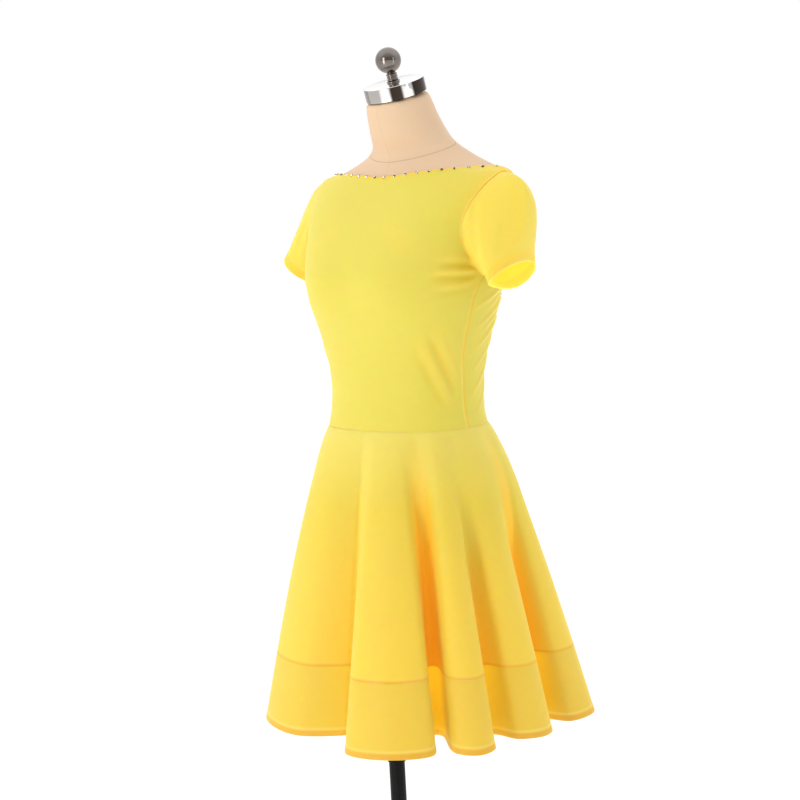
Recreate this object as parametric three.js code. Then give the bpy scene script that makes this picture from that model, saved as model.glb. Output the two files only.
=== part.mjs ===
// Figure skating dress in yellow stretch jersey, filled out by a limbless dress form on a round-based stand.
// The dress has a front, a low-cut back with a gathered edge, two set-in short sleeves, and a flared skirt with
// a deep band at its hem. The skirt and its band are cut in a front and a back panel, whose seams lie in two of
// the valleys between the flutes. The form is one smooth torso with a neck, a polished cap and a ball finial.
//
// Millimetres, +Z up. The front faces -Y and the wearer's left is +X. The origin is the middle of the base's
// underside, on the pole's axis. Angles round the body are in degrees: 0 at the centre front, 90 at the
// wearer's left side and 180 at the centre back.

import * as THREE from "three";

// Cloth
const CLOTH = 1.2; // wall of the jersey
const SEAM_GAP = 0.36; // between two sewn pieces
const ARMHOLE_GAP = 0.7; // between a sleeve and the armhole's rounder edge
const FORM_GAP = 1.45; // between the cloth's inner face and the form, before the facets come closer

// Heights of the cut
const WAIST_SEAM_Z = 900;
const UNDERARM_Z = 1113;
const SHOULDER_Z = 1253; // outer end of the shoulder seam, at the sleeve
const NECK_FRONT_Z = 1254; // boat neckline at the centre front
const NECK_SHOULDER_Z = 1262; // boat neckline at the shoulder seam
const SIDE = 90; // the side of the body, where the armhole and the shoulder seam are

// Armhole, an oval round the side of the body
const ARMHOLE_TURN = 20; // degrees that it reaches forwards and backwards of the side
const ARMHOLE_POINT = 0.45; // how much narrower than an oval it is towards its top and bottom
const ARMHOLE_MID_Z = (SHOULDER_Z + UNDERARM_Z) / 2;
const ARMHOLE_HALF_Z = (SHOULDER_Z - UNDERARM_Z) / 2;

// Skirt
const SKIRT_LENGTH = 422; // waist seam to hem, measured straight down at a flute's crest
const VALLEY_HANG = { drop: 1, crest: 270, valley: 150 }; // how much lower the hem hangs in a deep valley
const BAND_SEAM_SHARE = 0.77; // share of the skirt's length above the hem band
const HEM_CENTRE_Y = 71;
const FLARE_CURVE = 0.82; // below 1, the skirt leaves the hip quickly and then runs straighter
const HIP_EASE = 3.2; // between the hip line and the skirt where the cloth lies on the hip
const HIP_SOFTNESS = 5; // how gently the cloth leaves the hip
const HIP_REACH = 0.1; // share of the drop over which the hip takes hold of the cloth

// Sections of the dressed body, bottom to top. half is the half width, side, front and back are the Y of the
// side, centre front and centre back, and square is the exponent of the oval: 2 is an ellipse, more is boxier.
const BODY = [
  { z: 480, half: 74, side: 69, front: 8, back: 128, square: 2.0 },
  { z: 600, half: 100, side: 68, front: -6, back: 144, square: 2.0 },
  { z: 700, half: 148, side: 66, front: -32, back: 176, square: 2.2 },
  { z: 760, half: 157, side: 66, front: -40, back: 185, square: 2.2 },
  { z: 800, half: 154, side: 64, front: -42, back: 184, square: 2.2 },
  { z: 840, half: 145, side: 61, front: -42, back: 173, square: 2.2 },
  { z: 870, half: 135, side: 59, front: -40, back: 159, square: 2.2 },
  { z: 900, half: 125, side: 58, front: -36, back: 154, square: 2.2 },
  { z: 925, half: 121, side: 59, front: -31, back: 150, square: 2.2 },
  { z: 953, half: 120, side: 60, front: -28, back: 149, square: 2.2 },
  { z: 985, half: 123, side: 61, front: -28, back: 151, square: 2.25 },
  { z: 1015, half: 130, side: 62, front: -31, back: 155, square: 2.3 },
  { z: 1050, half: 139, side: 64, front: -39, back: 163, square: 2.35 },
  { z: 1084, half: 147, side: 67, front: -47, back: 170, square: 2.4 },
  { z: 1110, half: 150, side: 72, front: -49, back: 176, square: 2.5 },
  { z: 1140, half: 153, side: 78, front: -41, back: 182, square: 2.7 },
  { z: 1170, half: 157, side: 83, front: -25, back: 186, square: 2.9 },
  { z: 1200, half: 166, side: 88, front: -5, back: 187, square: 3.0 },
  { z: 1225, half: 174, side: 91, front: 14, back: 184, square: 2.7 },
  { z: 1242, half: 178, side: 92, front: 27, back: 179, square: 2.3 },
  { z: 1253, half: 175, side: 95, front: 35, back: 174, square: 2.0 },
  { z: 1262, half: 155, side: 104, front: 41, back: 169, square: 1.8 },
  { z: 1274, half: 127, side: 107, front: 47, back: 169, square: 1.5 },
  { z: 1284, half: 104, side: 109, front: 48, back: 169, square: 1.4 },
  { z: 1294, half: 87, side: 106, front: 43, back: 164, square: 1.4 },
  { z: 1304, half: 72, side: 98, front: 37, back: 158, square: 1.6 },
  { z: 1316, half: 60.3, side: 91, front: 33, back: 149, square: 1.9 },
  { z: 1336, half: 54.5, side: 82, front: 27.6, back: 136.4, square: 2.0 },
  { z: 1350, half: 51.5, side: 77, front: 25.6, back: 128.4, square: 2.0 },
  { z: 1367.3, half: 47.6, side: 71, front: 23.4, back: 118.6, square: 2.0 },
  { z: 1380, half: 46.5, side: 67, front: 20.5, back: 113.5, square: 2.0 },
];

// Bust cups, one on each side of the centre front
const BUST = { x: 72, z: 1104, width: 44, height: 42, lift: 8 };

// The side seam, which leans forwards above the waist.
const SIDE_SEAM = [
  { z: WAIST_SEAM_Z, angle: 88 },
  { z: 929, angle: 86.5 },
  { z: 960, angle: 86 },
  { z: 1024, angle: 83.5 },
  { z: 1079, angle: 84.5 },
  { z: 1100, angle: 87 },
  { z: UNDERARM_Z, angle: SIDE },
];

// Edge of the low back, from its lowest point up to the shoulder. turn is the angle from the centre back.
const BACK_EDGE = [
  { z: 966, turn: 0 },
  { z: 971, turn: 23 },
  { z: 990, turn: 41 },
  { z: 1030, turn: 53 },
  { z: 1090, turn: 55.5 },
  { z: 1150, turn: 57.5 },
  { z: 1210, turn: 64 },
  { z: 1246, turn: 76 },
  { z: NECK_SHOULDER_Z, turn: 90 },
];

// Gathers drawn up along each half of the back edge: at is the share of the edge from its lowest point to the
// shoulder, lift the height of the ridge at the edge, reach its length as a share of the piece's depth.
const GATHERS = [
  { at: 0.035, lift: 1.2, reach: 0.7 },
  { at: 0.085, lift: 1.6, reach: 0.9 },
  { at: 0.135, lift: 1.2, reach: 0.6 },
  { at: 0.19, lift: 1.8, reach: 0.95 },
  { at: 0.235, lift: 1.3, reach: 0.55 },
  { at: 0.285, lift: 1.9, reach: 0.85 },
  { at: 0.335, lift: 1.3, reach: 0.6 },
  { at: 0.39, lift: 1.9, reach: 0.8 },
  { at: 0.435, lift: 1.2, reach: 0.5 },
  { at: 0.485, lift: 1.8, reach: 0.75 },
  { at: 0.535, lift: 1.3, reach: 0.5 },
  { at: 0.59, lift: 1.8, reach: 0.8 },
  { at: 0.635, lift: 1.2, reach: 0.5 },
  { at: 0.69, lift: 1.6, reach: 0.8 },
  { at: 0.74, lift: 1.2, reach: 0.6 },
  { at: 0.8, lift: 1.4, reach: 0.7 },
  { at: 0.86, lift: 1.1, reach: 0.7 },
];
const GATHER_WIDTH = 0.015; // half width of a ridge, as a share of the edge

// Flutes of the skirt, seen from above round the hem's centre: where the front of the flute is and how far it
// stands out, half the angle of its rounded front and the radius at that front's two sides, and then the valley
// that follows it and the radius there.
const FLUTES = [
  { crest: -33, out: 240, spread: 21, sides: 226, valley: 5, in: 172 },
  { crest: 31.5, out: 270, spread: 13.5, sides: 254, valley: 48.5, in: 151 },
  { crest: 59.2, out: 259, spread: 6.4, sides: 245, valley: 71.5, in: 183 },
  { crest: 85, out: 241, spread: 8, sides: 229, valley: 101, in: 175 },
  { crest: 115, out: 253, spread: 11, sides: 236, valley: 133, in: 172 },
  { crest: 147, out: 250, spread: 8, sides: 235, valley: 163, in: 180 },
  { crest: 179, out: 256, spread: 9.5, sides: 240, valley: 195, in: 172 },
  { crest: 210, out: 247, spread: 8.5, sides: 231, valley: 224.5, in: 179 },
  { crest: 241, out: 255, spread: 10.5, sides: 238, valley: 258, in: 171 },
  { crest: 275, out: 247, spread: 10, sides: 230, valley: 292, in: 178 },
];
const VALLEY_SPREAD = 2.6; // half the angle of a valley's rounded bottom
const VALLEY_RISE = 9; // how much further out the cloth is at that bottom's two sides
const FLUTE_COLUMNS = [3, 2, 2, 3, 1, 1]; // mesh columns up to the front, over it, down and round the valley
const SEAM_VALLEYS = [4, 9]; // each side seam of the skirt lies in the valley before this flute

// Where the hem is higher or lower than the rest, and where the skirt leaves the hip sooner: the angle, the
// height or the amount taken off the flare's exponent, and half the width in degrees.
const HEM_RISES = [
  { angle: -38, amount: 4, width: 20 },
  { angle: 60, amount: -3.5, width: 8 },
  { angle: 90, amount: -2, width: 10 },
];
const EARLY_FLARES = [{ angle: -33, amount: 0.1, width: 24 }];

// Cuffs, ovals that lean outwards: how much lower the front is than the middle, how far the outer and the inner
// side stand from the middle, and how much fuller the inner side is at the back. Lean is in degrees.
const LEFT_CUFF = {
  x: 200, y: 74, z: 1109, halfDepth: 48, frontDrop: 6, outerSide: 24, innerSide: 20, swell: 0.6, lean: 55,
};
const RIGHT_CUFF = {
  x: 207, y: 73, z: 1130, halfDepth: 48, frontDrop: 0, outerSide: 22, innerSide: 36, swell: 0, lean: 55,
};

// How a sleeve leaves the armhole and reaches its cuff. The two numbers of a pair are for the underarm and for
// the shoulder.
const LEFT_HANG = { fall: [0.85, 0.16], leave: [13, 70], outward: [0.75, -0.1], arrive: [12, 50] };
const RIGHT_HANG = { fall: [0.85, 0.16], leave: [13, 60], outward: [0.75, 1], arrive: [12, 60] };
const SLEEVE_FRONT_EASE = 0.85; // how much shorter those two lengths are at the front of the arm

// Dress form and stand
const FORM_BOTTOM_Z = 700;
const ARM_PLATE_X = 160; // flat oval plate where an arm would start
const NECK_TOP_Z = 1367.3;
const NECK_TOP_Y = 71;
const CAP_TILT = 15.5; // degrees that the neck's top and its cap lean forwards
const CAP = { radius: 44.3, height: 19.8, edge: 1.2 };
const FINIAL = { ballRadius: 18.5, ballUp: 51.8, collarRadius: 6.5, ribRadius: 8, ribs: 3, foot: 9.6 };
const TUBE = { outer: 13.3, inner: 11.9, endZ: 411 };
const POLE = { radius: 11.5, topZ: 560 };
const BASE = { radius: 190, height: 12, edge: 3, bossRadius: 26, bossHeight: 34 };
const FIT_GAP = 0.3; // between two parts of the stand that touch

// Mesh sizes. The sleeve has a column at each row of the front's armhole and at every second one of the back's.
const FRONT_MESH = { columns: 24, neckColumns: 11, rows: 20, sideRows: 8 };
const BACK_MESH = { rows: 5, waistColumns: 10, sideColumns: 24, armholeColumns: 24 };
const SLEEVE_MESH = { columns: 24, rows: 7 };
const SKIRT_MESH = { rows: 7, bandRows: 2, topCrowding: 1.25 };
const FORM_MESH = { columns: 36, tallestRow: 40 };
const ROUND_SEGMENTS = 28;

const { lerp, clamp, degToRad, radToDeg } = THREE.MathUtils;
const sinDeg = (angle) => Math.sin(degToRad(angle));
const cosDeg = (angle) => Math.cos(degToRad(angle));

// One column of a table read at any place, on a smooth curve that never overshoots the rows.
function readTable(rows, key, column, at) {
  const last = rows.length - 1;
  const place = clamp(at, rows[0][key], rows[last][key]);
  let i = 0;
  while (i < last - 1 && place > rows[i + 1][key]) i += 1;
  const slope = (k) => (rows[k + 1][column] - rows[k][column]) / (rows[k + 1][key] - rows[k][key]);
  const tangent = (k) => {
    if (k === 0 || k === last) return slope(Math.min(k, last - 1));
    const [below, above] = [slope(k - 1), slope(k)];
    return below * above <= 0 ? 0 : (2 * below * above) / (below + above);
  };
  const span = rows[i + 1][key] - rows[i][key];
  const t = (place - rows[i][key]) / span;
  const rise = t * t * (3 - 2 * t);
  const bend = span * (t * (1 - t) * (1 - t) * tangent(i) - t * t * (1 - t) * tangent(i + 1));
  return lerp(rows[i][column], rows[i + 1][column], rise) + bend;
}

// The oval of the dressed body at a height.
function section(z) {
  const read = (column) => readTable(BODY, "z", column, z);
  const side = read("side");
  return {
    half: read("half"),
    side,
    frontDepth: side - read("front"),
    backDepth: read("back") - side,
    square: read("square"),
  };
}

// Distance from the section's middle to its outline, at an angle round the body.
function sectionRadius({ half, frontDepth, backDepth, square }, angle) {
  const across = Math.abs(sinDeg(angle)) / half;
  const along = Math.abs(cosDeg(angle)) / (cosDeg(angle) > 0 ? frontDepth : backDepth);
  return (across ** square + along ** square) ** (-1 / square);
}

// The dressed body's outer face.
function bodyPoint(angle, z) {
  const oval = section(z);
  const r = sectionRadius(oval, angle);
  const x = r * sinDeg(angle);
  const offCup = ((Math.abs(x) - BUST.x) / BUST.width) ** 2 + ((z - BUST.z) / BUST.height) ** 2;
  const lift = BUST.lift * Math.max(0, cosDeg(angle)) * Math.exp(-offCup);
  return new THREE.Vector3(x, oval.side - r * cosDeg(angle) - lift, z);
}

function bodyNormal(angle, z) {
  const turnStep = 1.2;
  const riseStep = 1.5;
  const round = bodyPoint(angle + turnStep, z).sub(bodyPoint(angle - turnStep, z));
  const up = bodyPoint(angle, z + riseStep).sub(bodyPoint(angle, z - riseStep));
  return round.cross(up).normalize();
}

// The body's face moved out along its normal, or in where the distance is negative.
const bodyOffset = (angle, z, distance) =>
  bodyPoint(angle, z).addScaledVector(bodyNormal(angle, z), distance);

// A four-cornered face in two triangles, split along its shorter diagonal.
function addQuad(triangles, a, b, c, d) {
  if (a.distanceTo(c) < b.distanceTo(d)) triangles.push([a, b, c], [a, c, d]);
  else triangles.push([a, b, d], [b, c, d]);
}

// Faces between the rows of a grid of points. Columns run to the right and rows upwards, seen from outside.
function addGrid(triangles, grid, closed) {
  const columns = grid[0].length;
  for (let r = 0; r < grid.length - 1; r += 1) {
    for (let c = 0; c < columns - (closed ? 0 : 1); c += 1) {
      const next = (c + 1) % columns;
      addQuad(triangles, grid[r][c], grid[r][next], grid[r + 1][next], grid[r + 1][c]);
    }
  }
}

function geometryOf(triangles) {
  const positions = triangles.flat().flatMap((point) => [point.x, point.y, point.z]);
  const geometry = new THREE.BufferGeometry();
  geometry.setAttribute("position", new THREE.Float32BufferAttribute(positions, 3));
  geometry.computeVertexNormals();
  return geometry;
}

// A cloth wall between its outer and its inner face, with its edges closed.
function wallGeometry({ outer, inner }, closed) {
  const triangles = [];
  const end = outer[0].length - 1;
  const top = outer.length - 1;
  const column = (grid, c) => grid.map((row) => row[c]);
  addGrid(triangles, outer, closed);
  addGrid(triangles, [...inner].reverse(), closed);
  addGrid(triangles, [outer[top], inner[top]], closed);
  addGrid(triangles, [inner[0], outer[0]], closed);
  if (!closed) {
    addGrid(triangles, [column(inner, 0), column(outer, 0)].reverse(), false);
    addGrid(triangles, [column(inner, end), column(outer, end)], false);
  }
  return geometryOf(triangles);
}

const mirrored = (grid) =>
  grid.map((row) => row.map((point) => point.clone().setX(-point.x)).reverse());

// A grid of cloth on the body, from a function that gives the angle, height and lift at each column and row.
function bodyWall(columns, rows, place) {
  const outer = [];
  const inner = [];
  for (let r = 0; r <= rows; r += 1) {
    const cells = Array.from({ length: columns + 1 }, (_, c) => place(c / columns, r / rows));
    outer.push(cells.map(({ angle, z, lift }) => bodyOffset(angle, z, lift)));
    inner.push(cells.map(({ angle, z }) => bodyOffset(angle, z, -CLOTH)));
  }
  return { outer, inner };
}

const neckline = (angle) => lerp(NECK_FRONT_Z, NECK_SHOULDER_Z, sinDeg(angle) ** 2);
const seamTurn = radToDeg(SEAM_GAP / 2 / section(WAIST_SEAM_Z).half);
const bodiceHem = WAIST_SEAM_Z + SEAM_GAP / 2;

// A point of the armhole: turn is 0 at the shoulder, 90 at the front and 180 under the arm.
const armhole = (turn) => ({
  angle: SIDE - ARMHOLE_TURN * sinDeg(turn) * (1 - ARMHOLE_POINT * cosDeg(turn) ** 2),
  z: ARMHOLE_MID_Z + ARMHOLE_HALF_Z * cosDeg(turn),
});

// The side seam at a share of its height, straight between the front's rows so that both sides of it agree.
function sideSeam(share) {
  const rows = FRONT_MESH.sideRows;
  const height = (row) => lerp(bodiceHem, UNDERARM_Z, row / rows);
  const angle = (row) => readTable(SIDE_SEAM, "z", "angle", height(row));
  const below = Math.min(rows - 1, Math.floor(share * rows));
  return { angle: lerp(angle(below), angle(below + 1), share * rows - below), z: height(share * rows) };
}

// The side of a body piece from the waist up: the side seam and then the armhole's front or back half.
function sideEdge(share, seamShare, front) {
  const seam = sideSeam(Math.min(1, share / seamShare));
  const side = seam.angle + (front ? -seamTurn : seamTurn);
  if (share <= seamShare) return { angle: side, z: seam.z };
  const turn = 180 * (1 - (share - seamShare) / (1 - seamShare));
  const { angle, z } = armhole(front ? turn : -turn);
  return { angle: front ? Math.min(angle, side) : Math.max(angle, side), z };
}

// The front: a patch stretched between its waist, centre line, side and neckline, the same on both sides.
function frontPlace(u, v) {
  const { columns, neckColumns, rows, sideRows } = FRONT_MESH;
  const neckShare = neckColumns / (columns / 2);
  const across = Math.abs(2 * u - 1);
  const edge = sideEdge(v, sideRows / rows, true);
  const waistSide = sideEdge(0, 1, true).angle;
  const topSide = SIDE - seamTurn;
  const neckTurn = Math.min(1, across / neckShare);
  const shoulderDrop = Math.max(0, (across - neckShare) / (1 - neckShare));
  const topAngle = topSide * neckTurn;
  const topZ = lerp(neckline(topAngle), SHOULDER_Z, shoulderDrop);
  const centreZ = lerp(bodiceHem, NECK_FRONT_Z, v);
  const straightZ = lerp(bodiceHem, lerp(NECK_FRONT_Z, SHOULDER_Z, across), v);
  const angle = lerp(waistSide * across, topAngle, v) + across * (edge.angle - lerp(waistSide, topSide, v));
  const z = lerp(bodiceHem, topZ, v) + lerp(centreZ, edge.z, across) - straightZ;
  return { angle: Math.sign(2 * u - 1) * angle, z, lift: 0 };
}

// The back edge by share of its length, as the angle round the body and the height.
const BACK_EDGE_BY_LENGTH = (() => {
  let share = 0;
  const steps = BACK_EDGE.map(({ z, turn }, i) => {
    const before = BACK_EDGE[Math.max(0, i - 1)];
    share += bodyPoint(180 - turn, z).distanceTo(bodyPoint(180 - before.turn, before.z));
    return { z, turn, share };
  });
  return steps.map((step) => ({ ...step, share: step.share / share }));
})();

// The back: a strip along the whole neckline, from the left shoulder down round the centre back to the right.
// Its other side follows the armhole, the side seam and the waist.
function backPlace(u, v) {
  const { waistColumns, sideColumns, armholeColumns } = BACK_MESH;
  const columns = waistColumns + sideColumns + armholeColumns;
  const waistShare = waistColumns / columns;
  const along = Math.abs(1 - 2 * u);
  const read = (column) => readTable(BACK_EDGE_BY_LENGTH, "share", column, along);
  const seamShare = sideColumns / (sideColumns + armholeColumns);
  const waistCorner = sideEdge(0, seamShare, false).angle;
  const outer =
    along <= waistShare
      ? { angle: lerp(180, waistCorner, along / waistShare), z: bodiceHem }
      : sideEdge((along - waistShare) / (1 - waistShare), seamShare, false);
  const edgeAngle = Math.max(180 - read("turn"), SIDE + seamTurn);
  const half = lerp(outer.angle, edgeAngle, v);
  let lift = 0;
  for (const gather of GATHERS) {
    const fade = clamp(1 - (1 - v) / gather.reach, 0, 1) ** 1.5;
    lift += gather.lift * fade * Math.exp(-(((along - gather.at) / GATHER_WIDTH) ** 2));
  }
  return { angle: u < 0.5 ? half : 360 - half, z: lerp(outer.z, read("z"), v), lift };
}

// The outer face of the sleeve at a turn round the arm, on a curve from the armhole to the cuff.
function sleevePoint(turn, v, cuff, hang) {
  const atShoulder = (1 + cosDeg(turn)) / 2;
  const { angle, z } = armhole(turn);
  const start = bodyPoint(angle, z);
  const inwards = bodyPoint(SIDE, ARMHOLE_MID_Z).sub(start).setX(0).normalize();
  start.addScaledVector(inwards, ARMHOLE_GAP);
  const swell = cosDeg(turn) < 0 ? 1 - cuff.swell * sinDeg(turn) : 1;
  const across = lerp(cuff.innerSide, cuff.outerSide, atShoulder) * cosDeg(turn) * swell;
  const end = new THREE.Vector3(
    cuff.x + across * cosDeg(cuff.lean),
    cuff.y - cuff.halfDepth * sinDeg(turn),
    cuff.z - cuff.frontDrop * sinDeg(turn) + across * sinDeg(cuff.lean),
  );
  const leave = new THREE.Vector3(1, 0, -lerp(...hang.fall, atShoulder)).normalize();
  const arrive = new THREE.Vector3(lerp(...hang.outward, atShoulder), 0, -1).normalize();
  const fullness = 1 - SLEEVE_FRONT_EASE * Math.max(0, sinDeg(turn)) * Math.sqrt(atShoulder);
  const leaveLength = fullness * lerp(...hang.leave, atShoulder);
  const arriveLength = fullness * lerp(...hang.arrive, atShoulder);
  const fromStart = start.clone().addScaledVector(leave, leaveLength);
  const beforeEnd = end.clone().addScaledVector(arrive, -arriveLength);
  return new THREE.CubicBezierCurve3(start, fromStart, beforeEnd, end).getPoint(v);
}

function sleeveWall(cuff, hang) {
  const { columns, rows } = SLEEVE_MESH;
  const outer = [];
  const inner = [];
  for (let r = 0; r <= rows; r += 1) {
    const v = r / rows;
    const turns = Array.from({ length: columns }, (_, c) => (360 * c) / columns);
    const face = turns.map((turn) => {
      const along = sleevePoint(turn, Math.min(1, v + 0.02), cuff, hang).sub(
        sleevePoint(turn, Math.max(0, v - 0.02), cuff, hang),
      );
      const round = sleevePoint(turn + 2, v, cuff, hang).sub(sleevePoint(turn - 2, v, cuff, hang));
      return { point: sleevePoint(turn, v, cuff, hang), normal: round.cross(along).normalize() };
    });
    outer.push(face.map(({ point }) => point));
    inner.push(face.map(({ point, normal }) => point.clone().addScaledVector(normal, -CLOTH)));
  }
  return { outer, inner };
}

// The hem seen from above, as one closed curve, and the place of each mesh column on it. Each column also has
// its angle on the waist seam: a flute takes the share of the seam that its cloth takes of the hem.
const SKIRT_COLUMNS = (() => {
  const at = (angle, radius) =>
    new THREE.Vector3(radius * sinDeg(angle), HEM_CENTRE_Y - radius * cosDeg(angle), 0);
  const points = FLUTES.flatMap((flute, i) => {
    const before = FLUTES[(i + FLUTES.length - 1) % FLUTES.length];
    return [
      at(before.valley + VALLEY_SPREAD, before.in + VALLEY_RISE),
      at(flute.crest - flute.spread, flute.sides),
      at(flute.crest, flute.out),
      at(flute.crest + flute.spread, flute.sides),
      at(flute.valley - VALLEY_SPREAD, flute.in + VALLEY_RISE),
      at(flute.valley, flute.in),
    ];
  });
  const curve = new THREE.CatmullRomCurve3(points, true, "centripetal");
  const hem = [];
  FLUTES.forEach((_, i) => {
    FLUTE_COLUMNS.forEach((count, part) => {
      for (let k = 0; k < count; k += 1) {
        hem.push(curve.getPoint(((i * FLUTE_COLUMNS.length + part + k / count) / points.length) % 1));
      }
    });
  });
  const perFlute = FLUTE_COLUMNS.reduce((sum, count) => sum + count, 0);
  const lengths = hem.map((point, c) => point.distanceTo(hem[(c + 1) % hem.length]));
  return FLUTES.flatMap((flute, i) => {
    const before = i > 0 ? FLUTES[i - 1].valley : FLUTES[FLUTES.length - 1].valley - 360;
    const own = lengths.slice(i * perFlute, (i + 1) * perFlute);
    const total = own.reduce((sum, length) => sum + length, 0);
    let run = 0;
    return own.map((length, c) => {
      const share = run / total;
      run += length;
      const seam = lerp(before + VALLEY_SPREAD, flute.valley + VALLEY_SPREAD, share);
      return { hem: hem[i * perFlute + c], seam };
    });
  });
})();

// The sum of what each place gives at an angle, fading with the distance from it.
function spreadRound(places, angle) {
  return places.reduce((sum, place) => {
    const off = THREE.MathUtils.euclideanModulo(angle - place.angle + 180, 360) - 180;
    return sum + place.amount * Math.exp(-((off / place.width) ** 2));
  }, 0);
}

// The skirt's outer face on one column: drop is the share of the way from the waist seam to the hem.
function skirtPoint({ hem, seam }, drop, lowered) {
  const top = bodyPoint(seam, WAIST_SEAM_Z);
  const angle = radToDeg(Math.atan2(hem.x, HEM_CENTRE_Y - hem.y));
  const flare = drop ** (FLARE_CURVE - spreadRound(EARLY_FLARES, angle));
  const hemRadius = Math.hypot(hem.x, hem.y - HEM_CENTRE_Y);
  const depth = clamp((VALLEY_HANG.crest - hemRadius) / (VALLEY_HANG.crest - VALLEY_HANG.valley), 0, 1);
  const hang = VALLEY_HANG.drop * depth - spreadRound(HEM_RISES, angle);
  const z = WAIST_SEAM_Z - drop * (SKIRT_LENGTH + hang) - lowered;
  const oval = section(z);
  const x = lerp(top.x, hem.x, flare);
  const forward = oval.side - lerp(top.y, hem.y, flare);
  const free = Math.hypot(x, forward);
  const onHip = sectionRadius(oval, radToDeg(Math.atan2(x, forward))) + HIP_EASE;
  const held = onHip + HIP_SOFTNESS * Math.log1p(Math.exp((free - onHip) / HIP_SOFTNESS));
  const scale = lerp(1, held / free, Math.min(1, drop / HIP_REACH));
  return new THREE.Vector3(x * scale, oval.side - forward * scale, z);
}

// A panel of the skirt between two shares of its drop, upper first, from the valley before one flute to the
// valley before another. It is parted from its neighbours by half a gap each way.
function skirtWall(topDrop, bottomDrop, rows, crowding, [firstFlute, lastFlute]) {
  const count = SKIRT_COLUMNS.length;
  const perFlute = count / FLUTES.length;
  const flutes = (lastFlute - firstFlute + FLUTES.length) % FLUTES.length;
  const start = firstFlute * perFlute - 1; // the last column of a flute is the bottom of its valley
  const picked = Array.from({ length: flutes * perFlute + 1 }, (_, c) => (start + c + count) % count);
  const atSeams = (row, ring) => {
    const shift = (c) => {
      const along = ring[(c + 1) % count].clone().sub(ring[(c + count - 1) % count]);
      return along.setLength(SEAM_GAP / 2);
    };
    row[0].add(shift(picked[0]));
    row[row.length - 1].sub(shift(picked[picked.length - 1]));
    return row;
  };
  const outer = [];
  const inner = [];
  for (let r = rows; r >= 0; r -= 1) {
    const drop = lerp(topDrop, bottomDrop, (r / rows) ** crowding);
    const lowered = r === 0 ? SEAM_GAP / 2 : r === rows && bottomDrop < 1 ? -SEAM_GAP / 2 : 0;
    const points = SKIRT_COLUMNS.map((column) => skirtPoint(column, drop, lowered));
    const isEdge = r === 0 || r === rows;
    const backs = picked.map((c) => {
      const round = points[(c + 1) % count].clone().sub(points[(c + count - 1) % count]);
      const up = skirtPoint(SKIRT_COLUMNS[c], Math.max(0, drop - 0.01), 0).sub(
        skirtPoint(SKIRT_COLUMNS[c], drop + 0.01, 0),
      );
      const back = points[c].clone().addScaledVector(round.cross(up).normalize(), -CLOTH);
      return isEdge ? back.setZ(points[c].z) : back;
    });
    outer.push(atSeams(picked.map((c) => points[c].clone()), points));
    inner.push(atSeams(backs, points));
  }
  return { outer, inner };
}

// The form's torso and neck: the body's own sections, set back by the cloth and its gap, and flat arm plates.
function formGeometry() {
  const heights = BODY.map(({ z }) => z).filter((z) => z >= FORM_BOTTOM_Z && z < NECK_TOP_Z);
  const levels = heights.flatMap((z, i) => {
    const next = heights[i + 1] ?? NECK_TOP_Z;
    return next - z > FORM_MESH.tallestRow ? [z, (z + next) / 2] : [z];
  });
  const grid = [...levels, NECK_TOP_Z].map((z) =>
    Array.from({ length: FORM_MESH.columns }, (_, c) => {
      const point = bodyOffset((360 * c) / FORM_MESH.columns, z, -CLOTH - FORM_GAP);
      point.x = clamp(point.x, -ARM_PLATE_X, ARM_PLATE_X);
      if (z === FORM_BOTTOM_Z) point.z = z;
      if (z === NECK_TOP_Z) point.z = z + (point.y - NECK_TOP_Y) * Math.tan(degToRad(CAP_TILT));
      return point;
    }),
  );
  const triangles = [];
  addGrid(triangles, grid, true);
  const close = (row) => {
    const middle = row.reduce((sum, p) => sum.add(p), new THREE.Vector3()).divideScalar(row.length);
    row.forEach((point, i) => triangles.push([point, row[(i + 1) % row.length], middle]));
  };
  close(grid[grid.length - 1]);
  close([...grid[0]].reverse());
  return geometryOf(triangles);
}

// A turned piece: each pair is a radius and a height, from the axis round the outside and back to the axis.
function turned(profile, segments = ROUND_SEGMENTS) {
  const points = profile.map(([radius, height]) => new THREE.Vector2(radius, height));
  return new THREE.LatheGeometry(points, segments).rotateX(Math.PI / 2);
}

function capGeometry() {
  const { radius, height, edge } = CAP;
  return turned([
    [0, 0],
    [radius - edge, 0],
    [radius, edge],
    [radius, height - edge],
    [radius - edge, height],
    [0, height],
  ]);
}

// The ball on its ribbed collar, standing on the cap.
function finialGeometry() {
  const { ballRadius, ballUp, collarRadius, ribRadius, ribs, foot } = FINIAL;
  const start = CAP.height + FIT_GAP;
  const up = ballUp - start;
  const collarEnd = up - Math.sqrt(ballRadius ** 2 - collarRadius ** 2);
  const ribPitch = collarEnd / (ribs + 0.5);
  const profile = [[0, 0], [foot, 0], [foot, ribPitch * 0.5], [collarRadius, ribPitch * 0.6]];
  for (let i = 0; i < ribs - 1; i += 1) {
    const middle = ribPitch * (i + 1.35);
    profile.push([collarRadius, middle - ribPitch * 0.3], [ribRadius, middle - ribPitch * 0.18]);
    profile.push([ribRadius, middle + ribPitch * 0.18], [collarRadius, middle + ribPitch * 0.3]);
  }
  const startAngle = radToDeg(Math.asin(collarRadius / ballRadius));
  const steps = 10;
  for (let i = 0; i <= steps; i += 1) {
    const angle = lerp(startAngle, 180, i / steps);
    profile.push([i === steps ? 0 : ballRadius * sinDeg(angle), up - ballRadius * cosDeg(angle)]);
  }
  return turned(profile, 20);
}

function tubeGeometry() {
  const { outer, inner, endZ } = TUBE;
  const top = FORM_BOTTOM_Z - FIT_GAP;
  return turned([[inner, endZ], [outer, endZ], [outer, top], [inner, top], [inner, endZ]]);
}

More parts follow.
